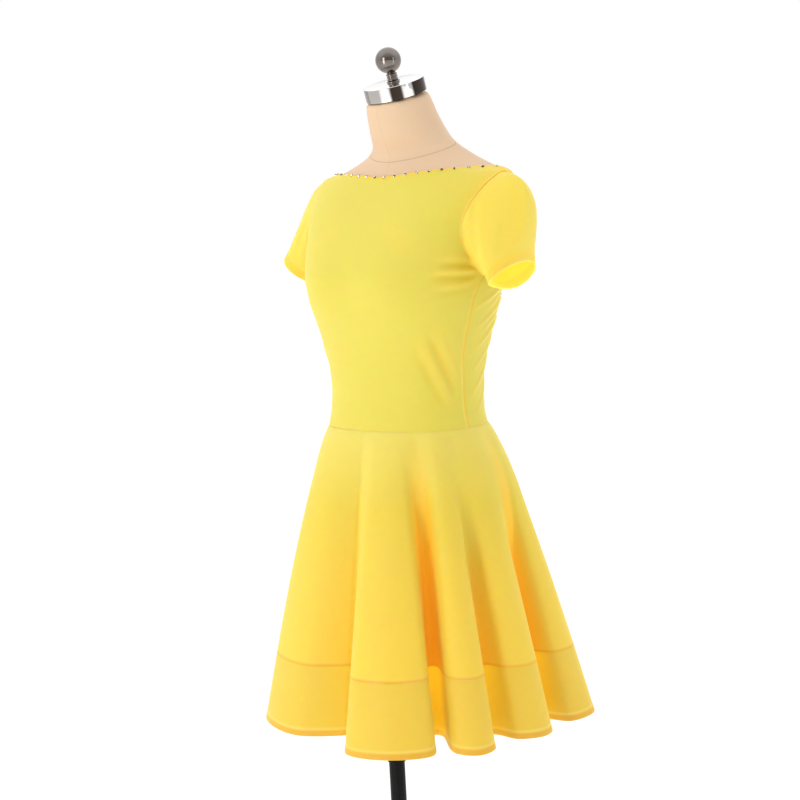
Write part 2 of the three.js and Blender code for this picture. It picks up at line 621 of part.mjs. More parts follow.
function poleGeometry() {
  const bottom = BASE.bossHeight + FIT_GAP;
  return turned([[0, bottom], [POLE.radius, bottom], [POLE.radius, POLE.topZ], [0, POLE.topZ]]);
}

function baseGeometry() {
  const { radius, height, edge, bossRadius, bossHeight } = BASE;
  return turned(
    [
      [0, 0],
      [radius - edge, 0],
      [radius, edge],
      [radius, height - edge],
      [radius - edge, height],
      [bossRadius + edge, height],
      [bossRadius, height + edge],
      [bossRadius, bossHeight - edge],
      [bossRadius - edge, bossHeight],
      [0, bossHeight],
    ],
    48,
  );
}

const jersey = { color: 0xf8dc4c, roughness: 0.62, metalness: 0, side: THREE.DoubleSide };
const formCloth = { color: 0xe6cbaa, roughness: 0.85, metalness: 0 };
const chrome = { color: 0xd6d8da, roughness: 0.12, metalness: 1 };
const blackSteel = { color: 0x232326, roughness: 0.45, metalness: 0.4 };

function piece(name, geometry, finish) {
  const mesh = new THREE.Mesh(geometry, new THREE.MeshStandardMaterial(finish));
  mesh.name = name;
  return mesh;
}

const { columns: frontColumns, rows: frontRows } = FRONT_MESH;
const backColumns = 2 * (BACK_MESH.waistColumns + BACK_MESH.sideColumns + BACK_MESH.armholeColumns);
const leftSleeve = sleeveWall(LEFT_CUFF, LEFT_HANG);
const rightSleeve = sleeveWall(RIGHT_CUFF, RIGHT_HANG);
const [leftSeam, rightSeam] = SEAM_VALLEYS;
const skirtPanel = (ends) =>
  wallGeometry(skirtWall(0, BAND_SEAM_SHARE, SKIRT_MESH.rows, SKIRT_MESH.topCrowding, ends), false);
const bandPanel = (ends) => wallGeometry(skirtWall(BAND_SEAM_SHARE, 1, SKIRT_MESH.bandRows, 1, ends), false);

const dress = new THREE.Group();
dress.add(
  piece("bodice_front", wallGeometry(bodyWall(frontColumns, frontRows, frontPlace), false), jersey),
  piece("bodice_back", wallGeometry(bodyWall(backColumns, BACK_MESH.rows, backPlace), false), jersey),
  piece("sleeve_left", wallGeometry(leftSleeve, true), jersey),
  piece(
    "sleeve_right",
    wallGeometry({ outer: mirrored(rightSleeve.outer), inner: mirrored(rightSleeve.inner) }, true),
    jersey,
  ),
  piece("skirt_front", skirtPanel([rightSeam, leftSeam]), jersey),
  piece("skirt_back", skirtPanel([leftSeam, rightSeam]), jersey),
  piece("hem_band_front", bandPanel([rightSeam, leftSeam]), jersey),
  piece("hem_band_back", bandPanel([leftSeam, rightSeam]), jersey),
);

// The neck's top leans forwards, and its cap and the ball stand square on it.
const neckTop = new THREE.Group();
neckTop.position.set(0, NECK_TOP_Y, NECK_TOP_Z);
neckTop.rotation.x = degToRad(CAP_TILT);
const cap = piece("neck_cap", capGeometry(), chrome);
cap.position.z = FIT_GAP;
const finial = piece("finial", finialGeometry(), chrome);
finial.position.z = CAP.height + 2 * FIT_GAP;
neckTop.add(cap, finial);

const form = new THREE.Group();
form.add(
  piece("form_torso", formGeometry(), formCloth),
  neckTop,
  piece("upper_tube", tubeGeometry(), blackSteel),
  piece("pole", poleGeometry(), blackSteel),
  piece("base", baseGeometry(), blackSteel),
);

const part = new THREE.Group();
part.add(dress, form);

export default part;
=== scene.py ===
"""Figure skating dress in yellow stretch jersey on a limbless dress form, with a stage to see it on.

Lengths in the tables are millimetres. The front faces -Y, the wearer's left is +X and Z is up. Angles
round the body are degrees: 0 at the centre front, 90 at the wearer's left side, 180 at the centre back.
"""

import math

import bpy
import numpy as np
from bpy.props import FloatProperty, FloatVectorProperty, IntProperty, PointerProperty
from mathutils import Matrix, Vector


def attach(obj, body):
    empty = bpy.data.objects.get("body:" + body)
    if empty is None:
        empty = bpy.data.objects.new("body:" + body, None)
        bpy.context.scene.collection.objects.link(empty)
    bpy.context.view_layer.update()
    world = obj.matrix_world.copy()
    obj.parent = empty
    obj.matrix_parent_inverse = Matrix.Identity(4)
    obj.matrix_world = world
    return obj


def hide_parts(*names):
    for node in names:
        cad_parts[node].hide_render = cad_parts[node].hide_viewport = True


bl_info = {
    "name": "Figure skating dress",
    "version": (1, 0, 0),
    "blender": (4, 5, 0),
    "location": "View3D > Sidebar > Dress",
    "description": "Models a jersey skating dress on a dress form, and a plain studio stage",
    "category": "Add Mesh",
}

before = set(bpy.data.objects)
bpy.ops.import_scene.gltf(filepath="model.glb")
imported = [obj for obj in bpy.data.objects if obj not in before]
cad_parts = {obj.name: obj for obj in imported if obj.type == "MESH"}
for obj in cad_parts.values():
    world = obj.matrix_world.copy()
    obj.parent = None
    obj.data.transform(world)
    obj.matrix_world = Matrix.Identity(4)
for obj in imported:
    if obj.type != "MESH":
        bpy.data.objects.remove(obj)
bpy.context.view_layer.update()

MM = 0.001
SIDE = 90.0  # the side seam's angle

# The cut
WAIST_SEAM_Z = 900.0
UNDERARM_Z = 1113.0
SHOULDER_Z = 1253.0
NECK_FRONT_Z = 1254.0
NECK_SHOULDER_Z = 1262.0
ARMHOLE_TURN = 20.0
ARMHOLE_POINT = 0.45
SEAM_GAP = 0.1
ARMHOLE_GAP = 0.25

# The skirt
SKIRT_LENGTH = 422.0
VALLEY_HANG = {"drop": 1.0, "crest": 270.0, "valley": 150.0}
BAND_SEAM_SHARE = 0.77
HEM_CENTRE_Y = 71.0
FLARE_CURVE = 0.82
HIP_EASE = 3.2
HIP_SOFTNESS = 5.0
HIP_REACH = 0.1
VALLEY_SPREAD = 2.6
VALLEY_RISE = 9.0

# Sections of the dressed body: height, half width, Y of the side, of the centre front and of the centre back,
# and the oval's exponent
BODY = np.array(
    [
        (480, 74, 69, 8, 128, 2.0),
        (600, 100, 68, -6, 144, 2.0),
        (700, 148, 66, -32, 176, 2.2),
        (760, 157, 66, -40, 185, 2.2),
        (800, 154, 64, -42, 184, 2.2),
        (840, 145, 61, -42, 173, 2.2),
        (870, 135, 59, -40, 159, 2.2),
        (900, 125, 58, -36, 154, 2.2),
        (925, 121, 59, -31, 150, 2.2),
        (953, 120, 60, -28, 149, 2.2),
        (985, 123, 61, -28, 151, 2.25),
        (1015, 130, 62, -31, 155, 2.3),
        (1050, 139, 64, -39, 163, 2.35),
        (1084, 147, 67, -47, 170, 2.4),
        (1110, 150, 72, -49, 176, 2.5),
        (1140, 153, 78, -41, 182, 2.7),
        (1170, 157, 83, -25, 186, 2.9),
        (1200, 166, 88, -5, 187, 3.0),
        (1225, 174, 91, 14, 184, 2.7),
        (1242, 178, 92, 27, 179, 2.3),
        (1253, 175, 95, 35, 174, 2.0),
        (1262, 155, 104, 41, 169, 1.8),
        (1274, 127, 107, 47, 169, 1.5),
    ]
)
BUST = {"x": 72.0, "z": 1104.0, "width": 44.0, "height": 42.0, "lift": 8.0}

# The side seam: height and angle. It leans forwards above the waist.
SIDE_SEAM = np.array([(900, 88), (929, 86.5), (960, 86), (1024, 83.5), (1079, 84.5), (1100, 87), (1113, 90)])

# Edge of the low back: height, and degrees from the centre back
BACK_EDGE = np.array(
    [
        (966, 0),
        (971, 23),
        (990, 41),
        (1030, 58),
        (1090, 61.5),
        (1150, 62.5),
        (1210, 66.5),
        (1246, 76),
        (NECK_SHOULDER_Z, 90),
    ]
)

# Gathers along each half of the back edge: share of the edge from its lowest point to the shoulder, height of
# the ridge at the edge, its reach as a share of the piece's depth, and how far it slants down on the way
GATHERS = [
    (0.03, 2.8, 0.7, 0.008),
    (0.061, 3.9, 0.9, 0.012),
    (0.097, 2.5, 0.55, 0.016),
    (0.125, 4.2, 0.95, 0.019),
    (0.158, 3.2, 0.75, 0.022),
    (0.195, 4.3, 0.85, 0.025),
    (0.225, 2.7, 0.6, 0.028),
    (0.259, 3.9, 1, 0.03),
    (0.29, 2.8, 0.7, 0.032),
    (0.326, 3.9, 0.9, 0.033),
    (0.354, 2.5, 0.55, 0.034),
    (0.387, 4.2, 0.95, 0.034),
    (0.424, 3.2, 0.75, 0.034),
    (0.454, 4.3, 0.85, 0.034),
    (0.488, 2.7, 0.6, 0.032),
    (0.519, 3.9, 1, 0.031),
    (0.555, 2.8, 0.7, 0.028),
    (0.583, 3.9, 0.9, 0.026),
    (0.616, 2, 0.55, 0.023),
    (0.653, 3.2, 0.95, 0.02),
    (0.683, 2.4, 0.75, 0.017),
    (0.717, 3.3, 0.85, 0.013),
    (0.748, 2.1, 0.6, 0.01),
    (0.784, 3, 1, 0.007),
    (0.812, 2.1, 0.7, 0.007),
    (0.845, 3, 0.9, 0.007),
]
GATHER_WIDTH = 0.0085
BACK_STONES_FROM = 0.86  # share of the back edge's half where its crystals begin, below the shoulder

# Soft creases of the front: angle and height where each starts and ends, its depth and its half width.
# A negative depth is a trough.
FRONT_CREASES = [
    (57, 1142, 84, 1138, 1.4, 4.0),
    (60, 1131, 85, 1127, -2.6, 4.6),
    (56, 1122, 85, 1120, 2.8, 3.8),
    (58, 1113, 85, 1112, -2.2, 3.8),
    (60, 1101, 85, 1103, 1.6, 4.5),
    (62, 1091, 84, 1096, -1.0, 4.5),
    (74, 1162, 86, 1149, -1.8, 5.0),
    (62, 1046, 83, 962, 1.9, 5.0),
    (58, 1040, 81, 942, -2.2, 5.0),
    (54, 1030, 77, 934, 1.8, 6.0),
    (50, 1018, 73, 926, -1.3, 6.0),
    (-67, 1127, -83, 1123, -1.4, 4.0),
    (-66, 1115, -84, 1112, 1.9, 4.5),
    (-58, 1024, -74, 962, 1.6, 5.0),
    (-54, 1006, -72, 946, -1.3, 5.5),
    (-20, 1192, -45, 1150, 0.7, 10.0),
    (22, 1190, 48, 1150, 0.7, 10.0),
]

# Flutes of the skirt: angle of the front, how far it stands out, half its angle, the radius at its two sides,
# and the angle and radius of the valley that follows
FLUTES = [
    (-33, 240, 21, 226, 5, 172),
    (31.5, 270, 13.5, 254, 48.5, 151),
    (59.2, 259, 6.4, 245, 71.5, 183),
    (85, 241, 8, 229, 101, 175),
    (115, 250, 11, 234, 133, 172),
    (147, 245, 8, 231, 163, 180),
    (179, 256, 9.5, 240, 195, 172),
    (210, 247, 8.5, 231, 224.5, 179),
    (241, 255, 10.5, 238, 258, 171),
    (275, 247, 10, 230, 292, 178),
]

# Light painted as coming through the cloth in the valley after each flute, from 0 to 1, and how far below the
# waist seam it begins
VALLEY_LIGHT = np.array([(0.2, 90), (0.78, 0), (0.75, 150), (0.95, -10)] + [(0.9, 40)] * 6)
# A valley's radius at the hem where its painted light begins, how much deeper the light is full, how far down
# it grows, and where and how much it weakens near the hem, which is lit from below
VALLEY_GLOW = {"rim": 232, "depth": 70, "grows": 160, "hem_from": 330, "hem_over": 60, "hem_loss": 0.35}

# Where the hem is higher than the rest: angle, height and half the width in degrees
HEM_RISES = [(-38, 4.0, 20.0), (60, -3.5, 8.0), (90, -2.0, 10.0)]
# Where the skirt leaves the hip sooner: angle, what its flare's exponent loses, half the width in degrees
EARLY_FLARES = [(-33, 0.1, 24.0)]

# The sleeves' cuffs: the middle, half the depth, how much lower the front is than the middle, how far the
# outer and the inner side stand from the middle, how much fuller the inner side is at the back, and the lean
# in degrees
LEFT_CUFF = {
    "x": 200,
    "y": 74,
    "z": 1109,
    "depth": 48,
    "drop": 6,
    "outer": 24,
    "inner": 20,
    "swell": 0.6,
    "lean": 55,
}
RIGHT_CUFF = {
    "x": 207,
    "y": 73,
    "z": 1130,
    "depth": 48,
    "drop": 0,
    "outer": 22,
    "inner": 36,
    "swell": 0,
    "lean": 55,
}
# How a sleeve leaves the armhole and reaches its cuff, at the underarm and at the shoulder
LEFT_HANG = {"fall": (0.85, 0.16), "leave": (13, 70), "outward": (0.75, -0.1), "arrive": (12, 50)}
RIGHT_HANG = {"fall": (0.85, 0.16), "leave": (13, 60), "outward": (0.75, 1), "arrive": (12, 60)}
FRONT_EASE = 0.85  # how much less a sleeve bulges at its front

# Height of a seam's ridge, as a multiple of the plain seam ridge
SIDE_CORD = 2.2
BAND_RIDGE = 1.7
WAIST_RIDGE = 0.6
PANEL_RIDGE = 0.4

# The neck's top and its cap, and the ball's height above the neck and its radius
NECK_TOP = {"y": 71, "z": 1367.3, "lean": 15.5}
NECK_CAP = {"foot": 0.3, "height": 19.8, "radius": 44.3, "edge": 1.2}
BALL = {"up": 51.8, "radius": 18.4, "neck": 6.0}

# Tones of the jersey in its four uses: the tone painted where light comes through, at seams and folds, the
# painted light itself as an emission colour, and its strength
JERSEYS = {
    "backed": {"name": "jersey_on_form", "deep": "#E3B420", "sewn": "#FFC222", "through": "#FFC83C"},
    "sleeve": {"name": "jersey_of_sleeves", "deep": "#FFE24A", "sewn": "#F4CC3A", "through": "#FFDA5C"},
    "hanging": {"name": "jersey_hanging", "deep": "#F4B422", "sewn": "#DC9C22", "through": "#FFBE28"},
    "band": {"name": "jersey_of_band", "deep": "#F6C62C", "sewn": "#E0A228", "through": "#FFE830"},
}
LIGHT_THROUGH = {"backed": 0.1, "sleeve": 0.42, "hanging": 0.2, "band": 0.38}


def hex_colour(code):
    """Linear red, green, blue and alpha of an sRGB hex colour."""
    parts = [int(code[i : i + 2], 16) / 255 for i in (1, 3, 5)]
    return tuple(c / 12.92 if c <= 0.04045 else ((c + 0.055) / 1.055) ** 2.4 for c in parts) + (1.0,)


def length_property(name, description, value):
    return FloatProperty(name=name, description=description, default=value, subtype="DISTANCE", unit="LENGTH")


def colour_property(name, description, code):
    value = hex_colour(code)[:3]
    return FloatVectorProperty(name=name, description=description, default=value, subtype="COLOR")


def power_property(name, description, value):
    return FloatProperty(name=name, description=description, default=value, unit="POWER")


def brightness_property(name, description, value):
    return FloatProperty(name=name, description=description, default=value, min=0)


class DressSizes(bpy.types.PropertyGroup):
    """Sizes of the cloth and of the trimming."""

    cloth: length_property("Cloth", "Thickness of the jersey", 0.9 * MM)
    fold: length_property("Folded edge", "How much thicker the cloth is where it is turned under", 0.45 * MM)
    neck_fold: length_property("Neck fold", "Width of the fold along neckline and back edge", 4.5 * MM)
    cuff_fold: length_property("Cuff hem", "Width of the hem at the cuff", 13 * MM)
    hem_fold: length_property("Skirt hem", "Width of the hem at the foot of the skirt", 8 * MM)
    seam_ridge: length_property("Seam ridge", "Height of the seam allowance's ridge beside a seam", 0.5 * MM)
    crystal: length_property("Crystal", "Width of a crystal", 4.6 * MM)
    crystal_pitch: length_property("Crystal spacing", "Distance from one crystal to the next", 19.5 * MM)
    round_steps: IntProperty(
        name="Round steps",
        description="Faces round a turned metal part",
        default=96,
        min=24,
        max=256,
    )


class DressColours(bpy.types.PropertyGroup):
    """Colours of the cloth: four copies of one jersey whose tones differ as painted light and shade, the hem
    band's the darkest as painted shade towards the floor. Their defaults are sRGB hex values turned to
    linear.
    """

    sleeve: colour_property("Sleeve jersey", "Cloth of the sleeves", "#E2D559")
    hanging: colour_property("Hanging jersey", "Cloth of the skirt", "#E6CB4C")
    # The band's tone is darker than the skirt's: painted shade towards the floor.
    band: colour_property("Band jersey", "Cloth of the hem band", "#DDC44A")
    backed: colour_property("Backed jersey", "Cloth that lies on the form", "#E7D158")


class StageSettings(bpy.types.PropertyGroup):
    """The studio."""

    key: power_property("Left light", "Power of the tall light on the left", 22.0)
    fill: power_property("Right light", "Power of the tall light on the right", 4.0)
    backdrop: brightness_property("Backdrop", "Brightness of the white surround", 1.0)
    studio: brightness_property("Studio", "Brightness of the room on the camera's side", 0.36)
    ceiling: brightness_property("Ceiling", "What the ceiling adds to the surround", 0.4)


def lerp(a, b, t):
    return a + (b - a) * t


def unit(vectors):
    return vectors / np.maximum(np.linalg.norm(vectors, axis=-1, keepdims=True), 1e-12)


def read_table(rows, column, at):
    """One column of a table at any place, on a smooth curve that never overshoots the rows."""
    places = rows[:, 0]
    values = rows[:, column]
    slopes = np.diff(values) / np.diff(places)
    products = slopes[:-1] * slopes[1:]
    sums = np.where(np.abs(slopes[:-1] + slopes[1:]) < 1e-12, 1, slopes[:-1] + slopes[1:])
    middle = np.where(products <= 0, 0, 2 * products / sums)
    tangents = np.concatenate([slopes[:1], middle, slopes[-1:]])
    at = np.clip(at, places[0], places[-1])
    i = np.clip(np.searchsorted(places, at) - 1, 0, len(places) - 2)
    span = places[i + 1] - places[i]
    t = (at - places[i]) / span
    rise = t * t * (3 - 2 * t)
    bend = span * (t * (1 - t) ** 2 * tangents[i] - t * t * (1 - t) * tangents[i + 1])
    return lerp(values[i], values[i + 1], rise) + bend


def section_radius(angle, z):
    """Middle Y of the body's section, and the distance from there to its outline at an angle."""
    half, side, front, back, square = (read_table(BODY, k, z) for k in range(1, 6))
    sine = np.abs(np.sin(np.radians(angle)))
    cosine = np.cos(np.radians(angle))
    depth = np.where(cosine > 0, side - front, back - side)
    radius = ((sine / half) ** square + (np.abs(cosine) / depth) ** square) ** (-1 / square)
    return side, radius


def body_point(angle, z):
    angle, z = np.broadcast_arrays(np.asarray(angle, float), np.asarray(z, float))
    side, radius = section_radius(angle, z)
    sine = np.sin(np.radians(angle))
    cosine = np.cos(np.radians(angle))
    x = radius * sine
    off_cup = ((np.abs(x) - BUST["x"]) / BUST["width"]) ** 2 + ((z - BUST["z"]) / BUST["height"]) ** 2
    lift = BUST["lift"] * np.maximum(0, cosine) * np.exp(-off_cup)
    return np.stack([x, side - radius * cosine - lift, z], -1)


def body_normal(angle, z):
    turn_step = 0.8
    rise_step = 1.0
    around = body_point(angle + turn_step, z) - body_point(angle - turn_step, z)
    up = body_point(angle, z + rise_step) - body_point(angle, z - rise_step)
    return unit(np.cross(around, up))


def armhole(turn):
    """Angle and height of the armhole's edge: turn is 0 at the shoulder, 90 in front, 180 under the arm."""
    middle = (SHOULDER_Z + UNDERARM_Z) / 2
    reach = (SHOULDER_Z - UNDERARM_Z) / 2
    sine = np.sin(np.radians(turn))
    cosine = np.cos(np.radians(turn))
    return SIDE - ARMHOLE_TURN * sine * (1 - ARMHOLE_POINT * cosine**2), middle + reach * cosine


SEAM_TURN = math.degrees(SEAM_GAP / 2 / 127)
BODICE_HEM = WAIST_SEAM_Z + SEAM_GAP / 2


def side_edge(share, seam_share, front):
    """The side of a body piece from the waist up: the side seam, then the armhole's front or back half."""
    side = read_table(SIDE_SEAM, 1, lerp(BODICE_HEM, UNDERARM_Z, np.minimum(share / seam_share, 1)))
    side = side - SEAM_TURN if front else side + SEAM_TURN
    turn = 180 * (1 - np.clip((share - seam_share) / (1 - seam_share), 0, 1))
    angle, z = armhole(turn if front else -turn)
    angle = np.minimum(angle, side) if front else np.maximum(angle, side)
    below = share <= seam_share
    seam_z = lerp(BODICE_HEM, UNDERARM_Z, share / seam_share)
    return np.where(below, side, angle), np.where(below, seam_z, z)


def run_length(points, axis):
    """Distance along the rows or columns of a grid from its first point."""
    steps = np.linalg.norm(np.diff(points, axis=axis), axis=-1)
    start = np.zeros_like(np.take(steps, [0], axis=axis))
    return np.concatenate([start, np.cumsum(steps, axis=axis)], axis=axis)


def from_end(length, axis):
    return np.take(length, [-1], axis=axis) - length


def ridge(distance, middle, width):
    return np.exp(-(((distance - middle) / width) ** 2))


def fold_over(distance, width):
    """1 on a folded edge, 0 beyond it, with a short slope between."""
    return 1 / (1 + np.exp((distance - width) / 0.35))


def crease_lift(angle, z, creases):
    """Height of the soft creases at each place on the body."""
    lift = np.zeros_like(z)
    reach = 135.0  # how far the body's face is from its axis, near enough to measure across a crease
    x = np.radians(angle) * reach
    for from_angle, from_z, to_angle, to_z, depth, width in creases:
        start = np.array([math.radians(from_angle) * reach, from_z])
        way = np.array([math.radians(to_angle) * reach, to_z]) - start
        length = math.hypot(*way)
        along = ((x - start[0]) * way[0] + (z - start[1]) * way[1]) / length**2
        across = ((x - start[0]) * way[1] - (z - start[1]) * way[0]) / length
        ends = np.clip(np.minimum(along, 1 - along) * 3.2 + 0.15, 0, 1)
        lift += depth * (ends**2 * (3 - 2 * ends)) * np.exp(-((across / width) ** 2))
    return lift


def catmull_rom(points, places):
    """Closed centripetal curve through the points, at places counted in points."""
    count = len(points)
    i = np.floor(places).astype(int)
    t = (places - i)[:, None]
    p0, p1, p2, p3 = (points[(i + k) % count] for k in (-1, 0, 1, 2))
    d0, d1, d2 = (
        np.sqrt(np.linalg.norm(b - a, axis=-1, keepdims=True)) for a, b in ((p0, p1), (p1, p2), (p2, p3))
    )
    m1 = ((p1 - p0) / d0 - (p2 - p0) / (d0 + d1) + (p2 - p1) / d1) * d1
    m2 = ((p2 - p1) / d1 - (p3 - p1) / (d1 + d2) + (p3 - p2) / d2) * d1
    return (
        (2 * t**3 - 3 * t**2 + 1) * p1
        + (t**3 - 2 * t**2 + t) * m1
        + (3 * t**2 - 2 * t**3) * p2
        + (t**3 - t**2) * m2
    )


# Mesh columns up to a flute's front, over it, down, and round its valley
FLUTE_COLUMNS = (14, 9, 9, 14, 5, 5)
SEAM_COLUMNS = [flute * sum(FLUTE_COLUMNS) + sum(FLUTE_COLUMNS[:5]) for flute in (3, 8)]


def hem_columns():
    """Places of the skirt's columns on the hem, seen from above, and their angles on the waist seam."""
    columns = FLUTE_COLUMNS
    points = []
    for i, (crest, out, spread, sides, valley, inner) in enumerate(FLUTES):
        before = FLUTES[i - 1]
        points += [
            (before[4] + VALLEY_SPREAD, before[5] + VALLEY_RISE),
            (crest - spread, sides),
            (crest, out),
            (crest + spread, sides),
            (valley - VALLEY_SPREAD, inner + VALLEY_RISE),
            (valley, inner),
        ]
    polar = np.array(points)
    turn = np.radians(polar[:, 0])
    flat = np.stack([polar[:, 1] * np.sin(turn), HEM_CENTRE_Y - polar[:, 1] * np.cos(turn)], -1)
    one_flute = np.concatenate([k + np.arange(n) / n for k, n in enumerate(columns)])
    places = np.concatenate([one_flute + 6 * i for i in range(len(FLUTES))])
    hem = catmull_rom(flat, places)
    lengths = np.linalg.norm(np.roll(hem, -1, axis=0) - hem, axis=1)
    per_flute = sum(columns)
    seam = []
    for i, flute in enumerate(FLUTES):
        before = FLUTES[i - 1][4] - (360 if i == 0 else 0)
        own = lengths[i * per_flute : (i + 1) * per_flute]
        share = np.concatenate([[0], np.cumsum(own)[:-1]]) / own.sum()
        seam.append(lerp(before + VALLEY_SPREAD, flute[4] + VALLEY_SPREAD, share))
    return hem, np.concatenate(seam)


HEM, HEM_SEAM = hem_columns()


def spread_round(places):
    """For each column, the sum of what each place gives, fading with the angle from it."""
    angle = np.degrees(np.arctan2(HEM[:, 0], HEM_CENTRE_Y - HEM[:, 1]))[None]
    total = np.zeros_like(angle)
    for middle, amount, width in places:
        off = (angle - middle + 180) % 360 - 180
        total += amount * np.exp(-((off / width) ** 2))
    return total


def skirt_points(drop):
    """Outer face of the skirt: drop is a column of shares of the way from the waist seam to the hem."""
    drop = drop[:, None]
    top = body_point(HEM_SEAM, WAIST_SEAM_Z)[None]
    flare = drop ** (FLARE_CURVE - spread_round(EARLY_FLARES))
    hem_radius = np.hypot(HEM[:, 0], HEM[:, 1] - HEM_CENTRE_Y)[None]
    crest, valley = VALLEY_HANG["crest"], VALLEY_HANG["valley"]
    depth = np.clip((crest - hem_radius) / (crest - valley), 0, 1)
    hang = VALLEY_HANG["drop"] * depth - spread_round(HEM_RISES)
    z = WAIST_SEAM_Z - drop * (SKIRT_LENGTH + hang)
    x = lerp(top[..., 0], HEM[None, :, 0], flare)
    y = lerp(top[..., 1], HEM[None, :, 1], flare)
    middle, _ = section_radius(np.zeros_like(z), z)
    angle = np.degrees(np.arctan2(x, middle - y))
    _, hip = section_radius(angle, z)
    free = np.hypot(x, middle - y)
    on_hip = hip + HIP_EASE
    held = on_hip + HIP_SOFTNESS * np.logaddexp(0, (free - on_hip) / HIP_SOFTNESS)
    scale = lerp(1, held / free, np.minimum(1, drop / HIP_REACH))
    return np.stack([x * scale, middle - (middle - y) * scale, z], -1)


def grid_normals(points, closed):
    """Normals of a grid whose columns run to the right and rows upwards, seen from outside."""
    if closed:
        around = np.roll(points, -1, axis=1) - np.roll(points, 1, axis=1)
    else:
        around = np.gradient(points, axis=1)
    return unit(np.cross(around, np.gradient(points, axis=0)))


def select_none():
    bpy.ops.object.select_all(action="DESELECT")


def activate(piece):
    select_none()
    piece.select_set(True)
    bpy.context.view_layer.objects.active = piece


def cloth_piece(name, nodes, outer, inner, closed, doubled, crest, glow, finish):
    """A thin wall of cloth between two grids, with a UV map and three attributes that its finish reads.

    doubled is 1 where the cloth is sewn or turned under. crest is 1 on a tight ridge, where the base colour
    gets a painted highlight.
    glow is how much painted light comes through the cloth, on its outer and on its inner face, as an emission
    and a deeper tone.
    """
    rows, columns = outer.shape[:2]
    points = np.concatenate([outer.reshape(-1, 3), inner.reshape(-1, 3)]) * MM
    index = np.arange(rows * columns).reshape(rows, columns)
    if closed:
        index = np.concatenate([index, index[:, :1]], axis=1)
    inside = index + rows * columns

    def quads(a, b, c, d):
        return np.stack([a, b, c, d], -1).reshape(-1, 4)

    faces = [
        quads(index[:-1, :-1], index[:-1, 1:], index[1:, 1:], index[1:, :-1]),
        quads(inside[1:, :-1], inside[1:, 1:], inside[:-1, 1:], inside[:-1, :-1]),
        quads(index[-1, :-1], index[-1, 1:], inside[-1, 1:], inside[-1, :-1]),
        quads(inside[0, :-1], inside[0, 1:], index[0, 1:], index[0, :-1]),
    ]
    if not closed:
        faces.append(quads(inside[:-1, 0], index[:-1, 0], index[1:, 0], inside[1:, 0]))
        faces.append(quads(index[:-1, -1], inside[:-1, -1], inside[1:, -1], index[1:, -1]))
    mesh = bpy.data.meshes.new(name)
    mesh.from_pydata(points.tolist(), [], np.concatenate(faces).tolist())
    piece = bpy.data.objects.new(name, mesh)
    bpy.context.scene.collection.objects.link(piece)

    wrap = np.concatenate([outer, outer[:, :1]], axis=1) if closed else outer
    across = run_length(wrap, 1) * MM
    along = np.broadcast_to(run_length(wrap, 0)[:, :1] * MM, across.shape)
    corners = [(0, 0), (0, 1), (1, 1), (1, 0)]
    ends = {0: slice(None, -1), 1: slice(1, None)}

    def corner_values(values, order):
        return np.stack([values[ends[r], ends[c]] for r, c in order], -1).reshape(-1)

    layer = mesh.uv_layers.new(name="cloth")
    flat_corners = np.zeros((len(mesh.loops), 2), np.float32)
    face_loops = 4 * (rows - 1) * (wrap.shape[1] - 1)
    for k, values in enumerate((across, along)):
        flat_corners[:face_loops, k] = corner_values(values, corners)
        flat_corners[face_loops : 2 * face_loops, k] = corner_values(values, corners[::-1])
    layer.data.foreach_set("uv", flat_corners.ravel())
    for attribute, values in (("doubled", (doubled, doubled)), ("crest", (crest, 0)), ("glow", glow)):
        both = [np.broadcast_to(side, (rows, columns)).reshape(-1).astype(np.float32) for side in values]
        mesh.attributes.new(attribute, "FLOAT", "POINT").data.foreach_set("value", np.concatenate(both))
    mesh.materials.append(finish)
    mesh.update()
    activate(piece)
    bpy.ops.object.shade_smooth_by_angle(angle=math.radians(50))
    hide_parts(*nodes)
    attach(piece, "root")
    return piece


def add_node(tree, kind, settings=None, **inputs):
    """A node with its settings, and its inputs as values or as links from other nodes' outputs.

    An input is given by its name, or by its number after an underscore.
    """
    node = tree.nodes.new(kind)
    for key, value in (settings or {}).items():
        setattr(node, key, value)
    for key, value in inputs.items():
        socket = node.inputs[int(key[1:])] if key[0] == "_" and key[1:].isdigit() else node.inputs[key]
        if isinstance(value, bpy.types.NodeSocket):
            tree.links.new(value, socket)
        else:
            socket.default_value = value
    return node


class Finish:
    """A node material under construction, with its Principled shader."""

    def __init__(self, name, colour, roughness, metallic=0.0):
        self.material = bpy.data.materials.new(name)
        self.material.use_nodes = True
        self.tree = self.material.node_tree
        self.shader = self.tree.nodes["Principled BSDF"]
        self.shader.inputs["Base Color"].default_value = colour
        self.shader.inputs["Roughness"].default_value = roughness
        self.shader.inputs["Metallic"].default_value = metallic

    def add(self, kind, settings=None, **inputs):
        return add_node(self.tree, kind, settings, **inputs)

    def link(self, output, name):
        self.tree.links.new(output, self.shader.inputs[name])


